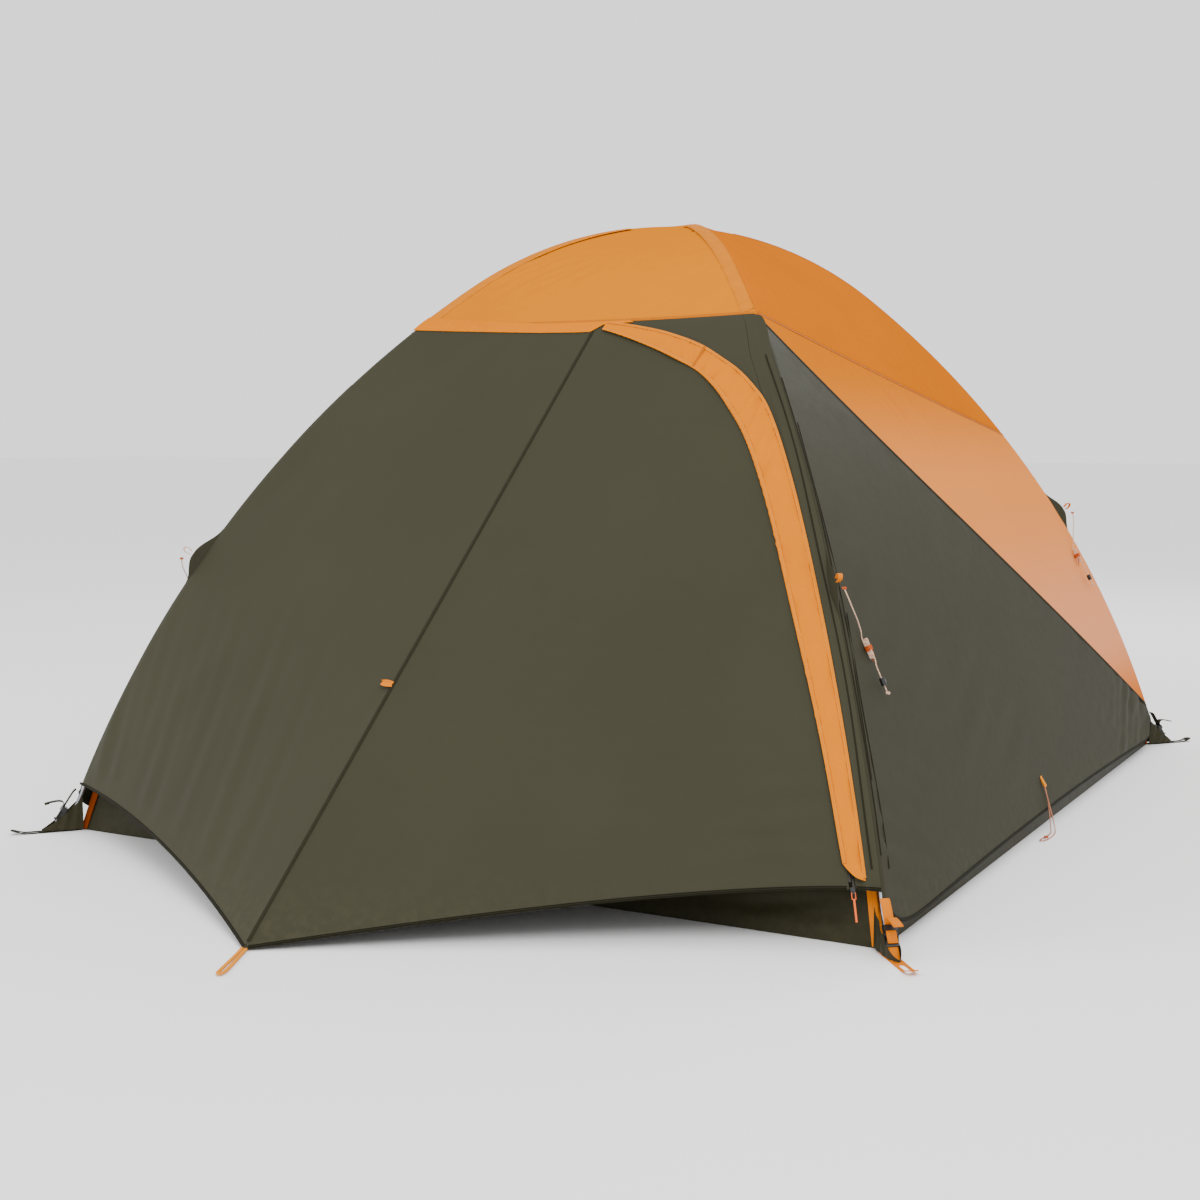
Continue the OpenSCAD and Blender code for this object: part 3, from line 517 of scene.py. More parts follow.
class Piece:
    """Points, faces and finishes gathered for one object."""

    def __init__(self, name, *finishes):
        self.name = name
        self.finishes = finishes
        self.verts, self.faces, self.uv, self.index, self.count = [], [], [], [], 0
        self.area = 0.0

    def add(self, verts, faces, uv, finish=0):
        """Adds a closed form, turned the right way out: its signed volume is made positive."""
        verts = verts.reshape(-1, 3)
        centre = verts.mean(0)
        volume = 0.0
        for group in faces:
            corners = verts[group] - centre
            for j in range(1, group.shape[1] - 1):
                volume += np.einsum("ij,ij->", corners[:, 0], np.cross(corners[:, j], corners[:, j + 1]))
        for group in faces:
            group = (group if volume >= 0 else group[:, ::-1]) + self.count
            self.faces += group.tolist()
            self.index += [finish]*len(group)
        self.verts.append(verts)
        self.uv.append(uv.reshape(-1, 2))
        self.count += len(verts)
        return self

    def sheet(self, P, thick, finish=0, out_from=(0, 0, 0.4), drape=None):
        """Cloth: a grid moved out by drape, and the same grid lower by its thickness, with closed edges."""
        n, m, _ = P.shape
        uv = grid_uv(P)
        normals = grid_normals(P, np.array(out_from))
        if drape is not None:
            P = P + normals*drape[..., None]
            normals = grid_normals(P, np.array(out_from))
        self.area += area_of(P)
        top = grid_faces(n, m)
        g = n*m
        edge = np.concatenate([np.arange(m), np.arange(2, n + 1)*m - 1, (n - 1)*m + np.arange(m - 2, -1, -1),
                               np.arange(n - 2, 0, -1)*m])
        follow = np.roll(edge, -1)
        rim = np.stack([edge, edge + g, follow + g, follow], -1)
        both = np.concatenate([P, P - normals*thick])
        return self.add(both, [top, top[:, ::-1] + g, rim], np.concatenate([uv, uv]), finish)

    def skin(self, P, finish=0, drape=None, out_from=(0, 0, 0.4)):
        """Open cloth grid that faces away from out_from, to be welded to others and thickened after."""
        normals = grid_normals(P, np.array(out_from))
        uv = grid_uv(P)
        if drape is not None:
            P = P + normals*drape[..., None]
        self.area += area_of(P)
        faces = grid_faces(*P.shape[:2])
        raw = np.cross(np.gradient(P, axis=1), np.gradient(P, axis=0))
        if (raw*(P - np.array(out_from))).sum() < 0:
            faces = faces[:, ::-1]
        self.faces += (faces + self.count).tolist()
        self.index += [finish]*len(faces)
        self.verts.append(P.reshape(-1, 3))
        self.uv.append(uv.reshape(-1, 2))
        self.count += P.shape[0]*P.shape[1]
        return self

    def sweep(self, path, profile, across, finish=0, closed=False):
        """A profile of (across, outward) points carried along a path, with flat ends or joined in a ring."""
        path = np.asarray(path, float)
        ahead = unit(np.roll(path, -1, 0)
                     - np.roll(path, 1, 0)) if closed else unit(np.gradient(path, axis=0))
        across = np.broadcast_to(np.asarray(across, float), path.shape)
        across = unit(across - (across*ahead).sum(-1, keepdims=True)*ahead)
        outward = np.cross(ahead, across)
        n, k = len(path), len(profile)
        verts = (path[:, None] + profile[None, :, :1]*across[:, None] + profile[None, :, 1:]*outward[:, None])
        along = np.concatenate([[0], np.cumsum(np.linalg.norm(np.diff(path, axis=0), axis=-1))])
        uv = np.stack(np.broadcast_arrays(profile[None, :, 0], along[:, None]), -1)
        i, j = mesh_grid(np.arange(n if closed else n - 1), np.arange(k))
        a, b = i*k + j, i*k + (j + 1) % k
        c, d = ((i + 1) % n)*k + (j + 1) % k, ((i + 1) % n)*k + j
        groups = [np.stack([a, b, c, d], -1).reshape(-1, 4)]
        if not closed:
            groups += [np.arange(k)[::-1][None], ((n - 1)*k + np.arange(k))[None]]
        return self.add(verts, groups, uv, finish)

    def tube(self, path, radius, finish=0, sides=10, closed=False):
        """A round cord along a path, its cross-section carried without twist."""
        path = np.asarray(path, float)
        ahead = unit(np.gradient(path, axis=0))
        across = [unit(np.cross(ahead[0], [0.31, 0.22, 0.92]))]
        for step in ahead[1:]:
            across.append(unit(across[-1] - step*(across[-1] @ step)))
        turn = TAU*np.arange(sides)/sides
        ring = np.stack([np.cos(turn), np.sin(turn)], -1)*radius
        piece = self.sweep(path, ring, np.array(across), finish, closed)
        self.uv[-1] = np.stack([np.tile(np.arange(sides)/sides, len(path)), self.uv[-1][:, 1]], -1)
        return piece

    def make(self, body, slot, replaces=(), weld=False, sharp=50):
        mesh = bpy.data.meshes.new(self.name)
        mesh.from_pydata(np.concatenate(self.verts).tolist(), [], self.faces)
        for finish in self.finishes:
            mesh.materials.append(finish)
        mesh.polygons.foreach_set("material_index", self.index)
        corner = np.empty(len(mesh.loops), np.int32)
        mesh.loops.foreach_get("vertex_index", corner)
        layer = mesh.uv_layers.new(name="UVMap")
        layer.data.foreach_set("uv", np.concatenate(self.uv)[corner].astype(np.float32).ravel())
        if weld:
            work = bmesh.new()
            work.from_mesh(mesh)
            bmesh.ops.remove_doubles(work, verts=work.verts, dist=0.00002)
            bmesh.ops.dissolve_degenerate(work, edges=work.edges, dist=0.00001)
            work.to_mesh(mesh)
            work.free()
        mesh.shade_smooth()
        mesh.set_sharp_from_angle(angle=math.radians(sharp))
        mesh.update()
        piece = bpy.data.objects.new(self.name, mesh)
        bpy.context.scene.collection.objects.link(piece)
        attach(piece, body)
        if replaces:
            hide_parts(*replaces)
        return piece


def flat_profile(width, thick, finish_steps=3):
    """Cross-section of webbing: a flat bar with rounded edges."""
    turn = np.linspace(-math.pi/2, math.pi/2, finish_steps + 1)
    right = np.stack([width/2 - thick/2 + np.cos(turn)*thick/2, np.sin(turn)*thick/2], -1)
    return np.concatenate([right, -right])


def along(P, v):
    """Smooth curve through the points P, from 0 to 1: a Catmull-Rom spline."""
    P = np.asarray(P, float)
    x = np.clip(np.asarray(v, float), 0, 1)*(len(P) - 1)
    i = np.minimum(len(P) - 2, x.astype(int))
    u = (x - i)[..., None]
    a, b, c, d = P[np.maximum(0, i - 1)], P[i], P[i + 1], P[np.minimum(len(P) - 1, i + 2)]
    return 0.5*(2*b + (c - a)*u + (2*a - 5*b + 4*c - d)*u*u + (3*b - a - 3*c + d)*u**3)


def smoothstep(x, low=0.0, high=1.0):
    u = np.clip((x - low)/(high - low), 0, 1)
    return u*u*(3 - 2*u)


def near_edges(x, width):
    """0 at both ends of 0 to 1, and 1 further in than width."""
    return smoothstep(np.minimum(x, 1 - x), 0, width)


def folds(a, b, direction, wave, seed, spread=8.0, count=6):
    """Uneven parallel folds: sines of nearly one length and one direction, in degrees from a towards b."""
    rng = np.random.default_rng(seed)
    total = 0
    for _ in range(count):
        turn = math.radians(direction + spread*rng.standard_normal())
        length = wave*2**rng.uniform(-0.7, 0.7)
        total = total + np.sin(TAU*(-a*math.sin(turn) + b*math.cos(turn))/length + rng.uniform(0, TAU))
    total = total/math.sqrt(count)
    return np.sign(total)*np.abs(total)**1.25


def patchy(a, b, size, seed):
    """Slow patches from 0 to 1 that make folds come and go."""
    rng = np.random.default_rng(seed)
    total = 0
    for _ in range(5):
        turn, length = rng.uniform(0, TAU), size*2**rng.uniform(-0.5, 0.5)
        total = total + np.sin(TAU*(a*math.cos(turn) + b*math.sin(turn))/length + rng.uniform(0, TAU))
    return smoothstep(total/3, -0.4, 0.8)


CLOTH, MESH = 0.0007, 0.0005


def thicken(piece, thickness):
    """Gives an open cloth its thickness, inwards."""
    wall = piece.modifiers.new("thickness", "SOLIDIFY")
    wall.thickness = thickness
    wall.offset = -1


# ---- cords ----
def on_side(quarter, P):
    """Points in a side panel's frame at its guy point: x down the cloth, y towards the middle, z out."""
    sx, sy = QUARTERS[quarter]
    t = float(steep(GUY_H if sy > 0 else GUY_REAR_H))
    r, z = line(t, GAP)
    lean = math.atan2(math.sin(t), KA*math.cos(t))
    down, out = np.array([math.cos(lean), 0, -math.sin(lean)]), np.array([math.sin(lean), 0, math.cos(lean)])
    P = np.asarray(P, float)
    at = points(KA*r, -KB*r, z) + P[..., :1]*down + P[..., 1:2]*np.array([0, 1.0, 0]) + P[..., 2:]*out
    return at*np.array([sx, sy, 1])


def on_leg(quarter, P, o=0.0, t=None):
    """Points in the pole's frame at its guy point: x down the pole, y across it, z out."""
    sx, sy = QUARTERS[quarter]
    t = float(steep(GUY_H if sy > 0 else GUY_REAR_H, 0)) if t is None else t
    r, z = line(t, o)
    radial, across = np.array([KA, -KB, 0]), np.array([KB, KA, 0])
    down, out = math.cos(t)*radial - math.sin(t)*UP, math.sin(t)*radial + math.cos(t)*UP
    P = np.asarray(P, float)
    at = points(KA*r, -KB*r, z) + P[..., :1]*down + P[..., 1:2]*across + P[..., 2:]*out
    return at*np.array([sx, sy, 1])


def racetrack(s, run, bend):
    """Point at distance s round a loop of two straight runs joined by half circles."""
    lap = 2*run + TAU*bend
    s = s % lap
    first, second = (s - run)/bend, (s - 2*run - math.pi*bend)/bend
    x = np.select([s < run, s < run + math.pi*bend, s < 2*run + math.pi*bend],
                  [s - run/2, run/2 + bend*np.sin(first), run/2 - (s - run - math.pi*bend)],
                  -run/2 - bend*np.sin(second))
    y = np.select([s < run, s < run + math.pi*bend, s < 2*run + math.pi*bend],
                  [-bend + 0*s, -bend*np.cos(first), bend + 0*s], bend*np.cos(second))
    return x, y


HANK_AT = np.array([142, 34, 0.4])*MM
HANK_RUN, HANK_BEND, HANK_PITCH, HANK_TURNS = 0.034, 0.00375, 0.0027, 3
guy_start = np.array([[16, -31, 30], [36, -22, 27], [60, -4, 20], [84, 14, 13], [104, 24, 7],
                      [114, 29, 2]])*MM
guy_end = np.array([[170, 28, 10], [180, 26, 8.4], [210, 26, 8.4], [238, 26, 8.4]])*MM


def guy_route():
    """Down from its loop, three laps and a run of a hank that climbs with each lap, and to its knot."""
    lap = 2*HANK_RUN + TAU*HANK_BEND
    s = np.linspace(0, HANK_TURNS*lap + HANK_RUN, 40*HANK_TURNS)
    x, y = racetrack(s, HANK_RUN, HANK_BEND)
    hank = points(x, y, HANK_PITCH*s/lap) + HANK_AT
    before = along(np.concatenate([guy_start, hank[:1]]), np.linspace(0, 1, 44)[:-1])
    after = along(np.concatenate([hank[-1:], guy_end]), np.linspace(0, 1, 26)[1:])
    return np.concatenate([before, hank, after])


def knot(piece, centre, size, radius, finish=0):
    """Overhand knot: a trefoil line, drawn with the cord's own radius."""
    a = np.linspace(0, TAU, 60, endpoint=False)
    trefoil = points(np.sin(a) + 2*np.sin(2*a), np.cos(a) - 2*np.cos(2*a), -1.2*np.sin(3*a))*size/3
    piece.tube(centre + trefoil, radius, finish, 8, closed=True)


for quarter in QUARTERS:
    route = on_side(quarter, guy_route())
    guy_line = Piece("guy_line_" + quarter, cord_finish).tube(route, CORD_D/2)
    guy_line = guy_line.make("tent", "cord_white", ["guyline_" + quarter, "guy_hanks"])
    trim = Piece("guy_line_knot_" + quarter, cord_finish, hank_cord)
    knot(trim, route[-1], 0.0042, 0.0012)
    knot(trim, route[0] + (route[0] - route[1])*0.2, 0.0040, 0.0012, 1)
    wind = np.linspace(0, 1, 90)
    wrap = points(HANK_AT[0] - 0.006 + 0.0105*wind, HANK_AT[1] + 0.0064*np.cos(TAU*5*wind),
                  HANK_AT[2] + 0.0043 + 0.0072*np.sin(TAU*5*wind))
    trim.tube(on_side(quarter, wrap), 0.0011, 1, 8)
    tail = np.array([[150, 39, 8], [156, 43, 6], [163, 42, 2], [168, 44, -1]])*MM
    trim.tube(on_side(quarter, along(tail, np.linspace(0, 1, 16))), 0.0011, 1, 8)
    trim = trim.make("tent", "cord_white")

TAB_Y, TAB_Z = -0.070, 0.112
peg_points = np.array([[9, -3, 100], [10, -5, 84], [12, -8, 62], [15, -15, 38], [20, -30, 15], [26, -56, 3.4],
                       [28, -92, 1.6], [27, -130, 1.6], [21, -152, 1.6], [13, -150, 1.6], [13, -128, 1.6],
                       [17, -94, 1.6], [17, -62, 3.4], [12.5, -34, 20], [10, -14, 42], [8, 0, 64],
                       [7.5, 4, 84],
                       [8, 3, 100]])*MM


def side_x(z):
    return KA*line(steep(z), GAP)[0]


for name, mirror in (("right", np.ones(3)), ("left", MIRROR_X)):
    hang = peg_points + points(side_x(np.maximum(0.002, peg_points[:, 2])) - 0.004, TAB_Y, 0)
    route = along(hang, np.linspace(0, 1, 110))*mirror
    peg_cord = Piece("peg_cord_" + name, pink_cord).tube(route, CORD_D/2)
    peg_cord = peg_cord.make("tent", "cord_white", ["side_cord_" + name])
    trim = Piece("peg_cord_knot_" + name, hank_cord)
    knot(trim, lerp(route[44], route[66], 0.5) + UP*0.0035, 0.0045, 0.0013)
    trim = trim.make("tent", "cord_white")


# ---- fly ----
def sign_of(s):
    return np.where(s < 0, -1.0, 1.0)


def cap_drape(P, v, f, seed, lie, wave, depth, sag):
    """Cap cloth: tight folds that fade out at every seam, on a shallow hollow between the poles."""
    across = P[..., lie[0]]
    fade = near_edges(f, 0.05)*smoothstep(v, 0.08, 0.3)*smoothstep(1 - v, 0, 0.08)
    ripple = folds(across, P[..., 2]*1.35, lie[1], wave, seed)*patchy(P[..., 0], P[..., 1], 0.45, seed + 1)
    return ripple*depth*fade - sag*(1 - (2*f - 1)**2)*np.sin(math.pi*np.clip(v, 0, 1))**1.5*near_edges(f,
                                                                                                       0.08)


def make_cap():
    """The orange cap: one continuous sheet from the crossing of the poles, rounded over each of them."""
    cap = Piece("fly_cap", orange_cloth, cap_side_lit_orange_cloth)
    rows = np.linspace(0, 1, 84)
    for mirror, end in (((1, 1, 1), front_seam), ((1, -1, 1), lambda s: CAP_REAR_T + 0*s)):
        v, f = mesh_grid(rows, spaced(1.2, 0.011))
        s = 2*f - 1
        t = v*(end(s) - GAP_T)
        P = creased(front(t, s), t, sign_of(s), -1.0)
        drape = cap_drape(P, v, f, 11, (0, 38), 0.042, 0.0021, 0.008)
        cap.skin(P*np.array(mirror), 0, drape)
    # The side quadrants take the lit copy of the orange: painted light.
    for mirror in ((1, 1, 1), (-1, 1, 1)):
        v, f = mesh_grid(rows, spaced(1.6, 0.011))
        s = 2*f - 1
        t = v*(side_seam(s) - GAP_T)
        P = creased(side(t, s), t, 1.0, sign_of(s))
        drape = cap_drape(P, v, f, 23, (1, -24), 0.060, 0.0030, 0.012)
        cap.skin(P*np.array(mirror), 1, drape)
    made = cap.make("tent", "orange", ["fly_cap_front", "fly_cap_rear", "fly_cap_left", "fly_cap_right"],
                    weld=True)
    thicken(made, CLOTH)


def make_side(name, mirror, seed):
    """A side of the fly below the cap: an upper wedge of orange cloth painted pale peach as painted sheen,
    and an olive one painted darker as painted shade, that meet on a slanting seam.
    """
    columns = spaced(2.4, 0.011)
    v, f = mesh_grid(np.linspace(0, 1, 76), columns)
    s = 2*f - 1
    t = lerp(side_seam(s) + GAP_T, split_seam(s) - GAP_T, v)
    P = creased(side(t, s), t, 1.0, sign_of(s))
    y, z = P[..., 1], P[..., 2]
    fade = near_edges(f, 0.03)*near_edges(v, 0.1)
    gathers = folds(y, z, -52, 0.055, seed)*smoothstep(1 - v, 0.1, 0.9)
    gathers = gathers*smoothstep(f, 0.15, 0.4)*smoothstep(1 - f, 0.25, 0.5)
    long_folds = folds(y, z, -38, 0.12, seed + 1)*patchy(y, z, 0.5, seed + 2)
    drape = (gathers*0.0040 + long_folds*0.0022)*fade
    drape = drape - 0.010*np.sin(math.pi*v)*near_edges(f, 0.2)
    # The upper wedge's pale peach is painted sheen over the orange cloth.
    upper = Piece("fly_side_%s_upper" % name, sheen_peach_cloth).sheet(P*mirror, CLOTH, drape=drape)
    made = upper.make("tent", "peach", ["fly_%s_upper" % name])
    v, f = mesh_grid(np.linspace(0, 1, 96), columns)
    s = 2*f - 1
    t = lerp(split_seam(s) + GAP_T, side_hem(s), v)
    P = creased(side(t, s), t, 1.0, sign_of(s))
    y, z = P[..., 1], P[..., 2]
    fade = near_edges(f, 0.02)*smoothstep(v, 0, 0.06)
    slack = folds(y, z, 18, 0.16, seed + 4)*patchy(y, z, 0.6, seed + 5)*0.0011
    corner_pull = folds(y, z, 28, 0.075, seed + 6)*smoothstep(f, 0.72, 0.95)*smoothstep(0.5 - z, 0.1,
                                                                                        0.4)*0.0024
    front_pull = folds(y, z, -30, 0.07, seed + 7)*smoothstep(1 - f, 0.8, 0.97)*smoothstep(0.4 - z, 0.0,
                                                                                          0.3)*0.0018
    at_hem = smoothstep(1 - v, 0.008, 0.06)
    # The lower wedge's olive is painted darker than the fly olive: painted shade against the key light.
    lower = Piece("fly_side_%s_lower" % name, shaded_olive_side_cloth)
    lower.sheet(P*mirror, CLOTH, drape=(slack + corner_pull + front_pull)*fade*at_hem)
    made = lower.make("tent", "olive", ["fly_%s_lower" % name])


def make_rear():
    v, f = mesh_grid(np.linspace(0, 1, 96), spaced(2.0, 0.012))
    s = 2*f - 1
    t = lerp(CAP_REAR_T + GAP_T, side_hem(s), v)
    P = creased(front(t, s), t, sign_of(s), -1.0)*np.array([1, -1, 1])
    x, z = P[..., 0], P[..., 2]
    fade = near_edges(f, 0.03)*smoothstep(v, 0, 0.06)
    drape = (folds(x, z, 80, 0.13, 61)*0.0016*patchy(x, z, 0.6, 62)
             + folds(x, z, 8, 0.05, 63)*0.0016*(1 - v)**2)*fade
    drape = (drape - 0.012*np.sin(math.pi*v)*near_edges(f, 0.25))*smoothstep(1 - v, 0.006, 0.06)
    rear = Piece("fly_rear_wall", rear_cloth).sheet(P, CLOTH, drape=drape)
    rear.make("tent", "orange", ["fly_rear"])


def make_porch():
    """The porch: left panel, strip by the pole, and door leaf, tight between the ridge and the poles."""
    v, f = mesh_grid(np.linspace(0, 1, 120), spaced(1.3, 0.011))
    P = creased(left_pt(v, f, 0), leg_t(v*left_hem(f)), -1.0, -1.0)
    x, z = P[..., 0], P[..., 2]
    hem_folds = folds(x, z, 99, 0.085, 71, 5)*smoothstep(v, 0.55, 0.95)*smoothstep(f, 0.05, 0.3)*0.0032
    slack = folds(x, z, 52, 0.2, 72)*patchy(x, z, 0.5, 73)*0.0012
    left = Piece("porch_left_panel", olive_cloth)
    left.sheet(P, CLOTH, drape=(hem_folds + slack)*near_edges(f, 0.03)*smoothstep(v, 0, 0.05)
               *smoothstep(1 - v, 0.006, 0.05))
    left.make("tent", "olive", ["porch_left"])
    v, f = mesh_grid(np.linspace(0, 1, 130),
                     np.concatenate([np.array([0, .04, .1, .16, .25, .38]), np.linspace(.5, 1, 6)]))
    P = creased(right_pt(v*STRIP_END, f*STRIP_W, 0), leg_t(v*STRIP_END), 1.0, -1.0)
    pleat = np.sin(f*TAU*2.2 + 0.5*np.sin(v*9))*0.0016*smoothstep(f, 0.15, 0.4)*smoothstep(1 - f, 0, 0.3)
    strip = Piece("porch_zip_strip", olive_cloth)
    strip.sheet(P, CLOTH, drape=pleat*smoothstep(v, 0.02, 0.1))
    strip.make("tent", "olive", ["porch_strip"])
    v, f = mesh_grid(np.linspace(0, 1, 120), np.linspace(0, 1, 120))
    w = np.maximum(0.004, door_w(v, f))
    P = right_pt(w, lerp(zip_gap(w), span(w), f), 0)
    x, z = P[..., 0], P[..., 2]
    slack = folds(x, z, 40, 0.2, 81)*patchy(x, z, 0.6, 82)*0.0013
    hem_pull = folds(x, z, 6, 0.06, 83)*smoothstep(v, 0.75, 1)*smoothstep(1 - f, 0.6, 0.9)*0.0022
    door = Piece("fly_door_panel", olive_cloth)
    door.sheet(P, CLOTH, drape=(slack + hem_pull)*near_edges(f, 0.04)*smoothstep(v, 0.02, 0.08)
               *smoothstep(1 - v, 0.006, 0.05))
    door.make("fly_door", "olive", ["fly_door"])


# storm flap's two edges, as (part of the way down the porch, distance from the pole)
flap_outer = np.array([[0.012, 398], [0.03, 325], [0.05, 243], [0.08, 155], [0.12, 98], [0.17, 62],
                       [0.22, 44],
                       [0.34, 36], [0.55, 34], [0.74, 32], [0.895, 30]])*np.array([1, MM])
flap_inner = np.array([[0.035, 418], [0.064, 322], [0.09, 250], [0.12, 195], [0.16, 160], [0.21, 136],
                       [0.272, 116],
                       [0.378, 104], [0.55, 96], [0.74, 80], [0.895, 70]])*np.array([1, MM])


def flap_pt(v, f, lift=0.0):
    """Storm flap: from its edge by the pole, f = 0, to its other edge, f = 1, arched clear of the door."""
    q = lerp3(along(flap_outer, v), along(flap_inner, v), f)
    round_end = 0.020*f**3*smoothstep(v, 0.95, 1.0)
    rise = np.clip((v - 0.28)*7, 0, 1)
    k = 0.0022 + 0.003*f + 0.008*np.sin(math.pi*f)*rise + lift
    return right_pt(q[..., 0] - round_end, q[..., 1], k)


def make_flap():
    v, f = mesh_grid(np.linspace(0, 1, 240), np.linspace(0, 1, 19))
    down = v*1.75
    across = f*0.07
    crush = folds(down, across, 62, 0.075, 91, 22)*0.0034*near_edges(f, 0.25)
    pucker = folds(down, across, 88, 0.026, 92, 10)*0.0012*(1 - near_edges(f, 0.3))
    flap = Piece("storm_flap_band", flap_cloth)
    flap.sheet(flap_pt(v, f), 0.0012, drape=(crush*smoothstep(v, 0.1, 0.3) + pucker)*smoothstep(f, 0, 0.1))
    made = flap.make("fly_door", "orange", ["storm_flap"])
    hems = Piece("storm_flap_hems", stitched("flap_hem", FLAP, [-0.0026, 0.0026],
                                             thread_colour=rgb(232, 176, 80)))
    seam = Piece("storm_flap_seam", stitched("flap_cross_seam", rgb(190, 122, 0), [-0.0018, 0.0018]))
    run = np.linspace(0.004, 0.996, 150)
    for edge in (0.06, 0.94):
        tape(hems, lambda x, e, edge=edge: flap_pt(x, edge + e/0.07, 0.0010), run, 0.0075, 0.0010)
    tape(seam, lambda x, e: flap_pt(0.30 + e/1.7 + 0*x, x, 0.0012), np.linspace(0.03, 0.97, 12), 0.007,
         0.0010)
    hems.make("fly_door", "orange")
    seam.make("fly_door", "orange")


def tape(piece, G, run, width, thick, finish=0, out_from=(0, 0, 0.4), lift=None):
    """Seam tape: a flat bar along G(run, 0), in the surface whose point e across the seam is G(run, e)."""
    path = G(run, 0*run)
    across = unit(G(run, 0*run + 0.002) - G(run, 0*run - 0.002))
    out = np.cross(unit(np.gradient(path, axis=0)), across)
    out = out*np.sign(((path - np.array(out_from))*out).sum(-1, keepdims=True))
    lift = thick*0.35 if lift is None else lift
    return piece.sweep(path + out*lift, flat_profile(width, thick), across, finish)


T_PER_M = 1/2.71  # steepness for each metre along the poles' lower arc
HEM_W, HEM_THICK = 0.0065, 0.0018


def make_seams():
    """Sewn seams and hems of the fly, each a tape that follows its seam."""
    seams = Piece("fly_seams", orange_tape, side_tape, olive_tape)
    run = np.linspace(-0.985, 0.985, 150)
    one, flip_y = np.ones(3), np.array([1, -1, 1])

    def front_line(end, mirror):
        def G(s, e):
            t = end(s) + e*T_PER_M
            return creased(front(t, s), t, sign_of(s), -1.0)*mirror
        return G

    def side_line(end, mirror):
        def G(s, e):
            t = end(s) + e*T_PER_M
            return creased(side(t, s), t, 1.0, sign_of(s))*mirror
        return G

    tape(seams, front_line(lambda s: front_seam(s) - 0.0035*T_PER_M, one), run, 0.0085, 0.0016, 0)
    tape(seams, front_line(lambda s: CAP_REAR_T - 0.003*T_PER_M + 0*s, flip_y), run, 0.0085, 0.0014, 0)
    for mirror in (one, MIRROR_X):
        tape(seams, side_line(side_seam, mirror), run, 0.0060, 0.0014, 1)
        tape(seams, side_line(lambda s: split_seam(s) + 0.003*T_PER_M, mirror), run, 0.0085, 0.0014, 2)
    tape(seams, lambda x, e: ridge(x, 0*x + 0.0002) + points(e, 0, 0), np.linspace(0.01, 0.99, 80), 0.008,
         0.0014, 2)
    seams.make("tent", "webbing")
    hems = Piece("fly_hems", hem_tape)
    run = np.linspace(-0.996, 0.996, 220)
    for mirror in (one, MIRROR_X):
        tape(hems, side_line(lambda s: side_hem(s) - 0.004*T_PER_M, mirror), run, HEM_W, HEM_THICK)
    tape(hems, front_line(lambda s: side_hem(s) - 0.004*T_PER_M, flip_y), run, HEM_W, HEM_THICK)
    edge = np.linspace(0.004, 0.996, 120)
    tape(hems, lambda x, e: left_pt(1 + e/1.8 - 0.0025, x, 0), edge, HEM_W, HEM_THICK)
    tape(hems, lambda x, e: right_pt(STRIP_END - 0.0025 + e/1.8 + 0*x, x*STRIP_W, 0),
         np.linspace(0.05, 0.98, 12),
         HEM_W, HEM_THICK)
    hems.make("tent", "olive")
    door_hem = Piece("fly_door_hem", hem_tape)

    def door_edge(x, e):
        w = door_w(1 - 0.0025 + e/1.8, x)
        return right_pt(w, lerp(ZIP_W + ZIP_HALF, span(w), x), 0)

    tape(door_hem, door_edge, np.linspace(0.004, 0.996, 120), HEM_W, HEM_THICK)
    door_hem.make("fly_door", "olive")
    # The pleats along the pole creases are strips of olive painted darker than the cloth: painted shade in
    # the creases.
    pleats = Piece("pole_crease_pleats", fabric("pleat_painted_shade_cloth", rgb(62, 60, 47)))
    for mirror in (one, MIRROR_X):
        for d, top, low in ((0.011, 1.08, 0.17), (0.023, 0.98, 0.30), (0.038, 0.60, 0.14)):
            run = np.linspace(steep(top), steep(low), 70)

            def pleat(t, e, d=d, mirror=mirror):
                wave = d*(1 + 0.22*np.sin(t*26 + d*900)) + e
                return creased(side(t, -1 + wave/(KB*line(t, GAP)[0])), t, 1.0, -1.0)*mirror
            tape(pleats, pleat, run, 0.0034, 0.0014, lift=0.0008)
    for d, top, low in ((0.013, 0.10, 0.88), (0.030, 0.30, 0.80)):
        tape(pleats, lambda w, e, d=d: creased(right_pt(w, d*(1 + 0.15*np.sin(w*17)) + e, 0), leg_t(w), 1.0,
                                               -1.0),
             np.linspace(top, low, 60), 0.0034, 0.0014, lift=0.0001)
    pleats.make("tent", "olive")
    bands = Piece("cap_pole_bands", stitched("cap_band", ORANGE, [-0.014, 0.014],
                                             thread_colour=rgb(168, 104, 8)))
    for mirror_y, end in ((1, CAP_T), (-1, CAP_REAR_T)):
        t = np.linspace(0.16, end - 0.004, 60)
        for sx in (1, -1):
            def band(x, e, sx=sx, mirror_y=mirror_y):
                s = 1 - (0.021 + e)/(KA*line(x, GAP)[0])
                return creased(front(x, s), x, 1.0, -1.0)*np.array([sx, mirror_y, 1])
            tape(bands, band, t, 0.032, 0.0012, lift=0.0006)
    bands.make("tent", "orange")


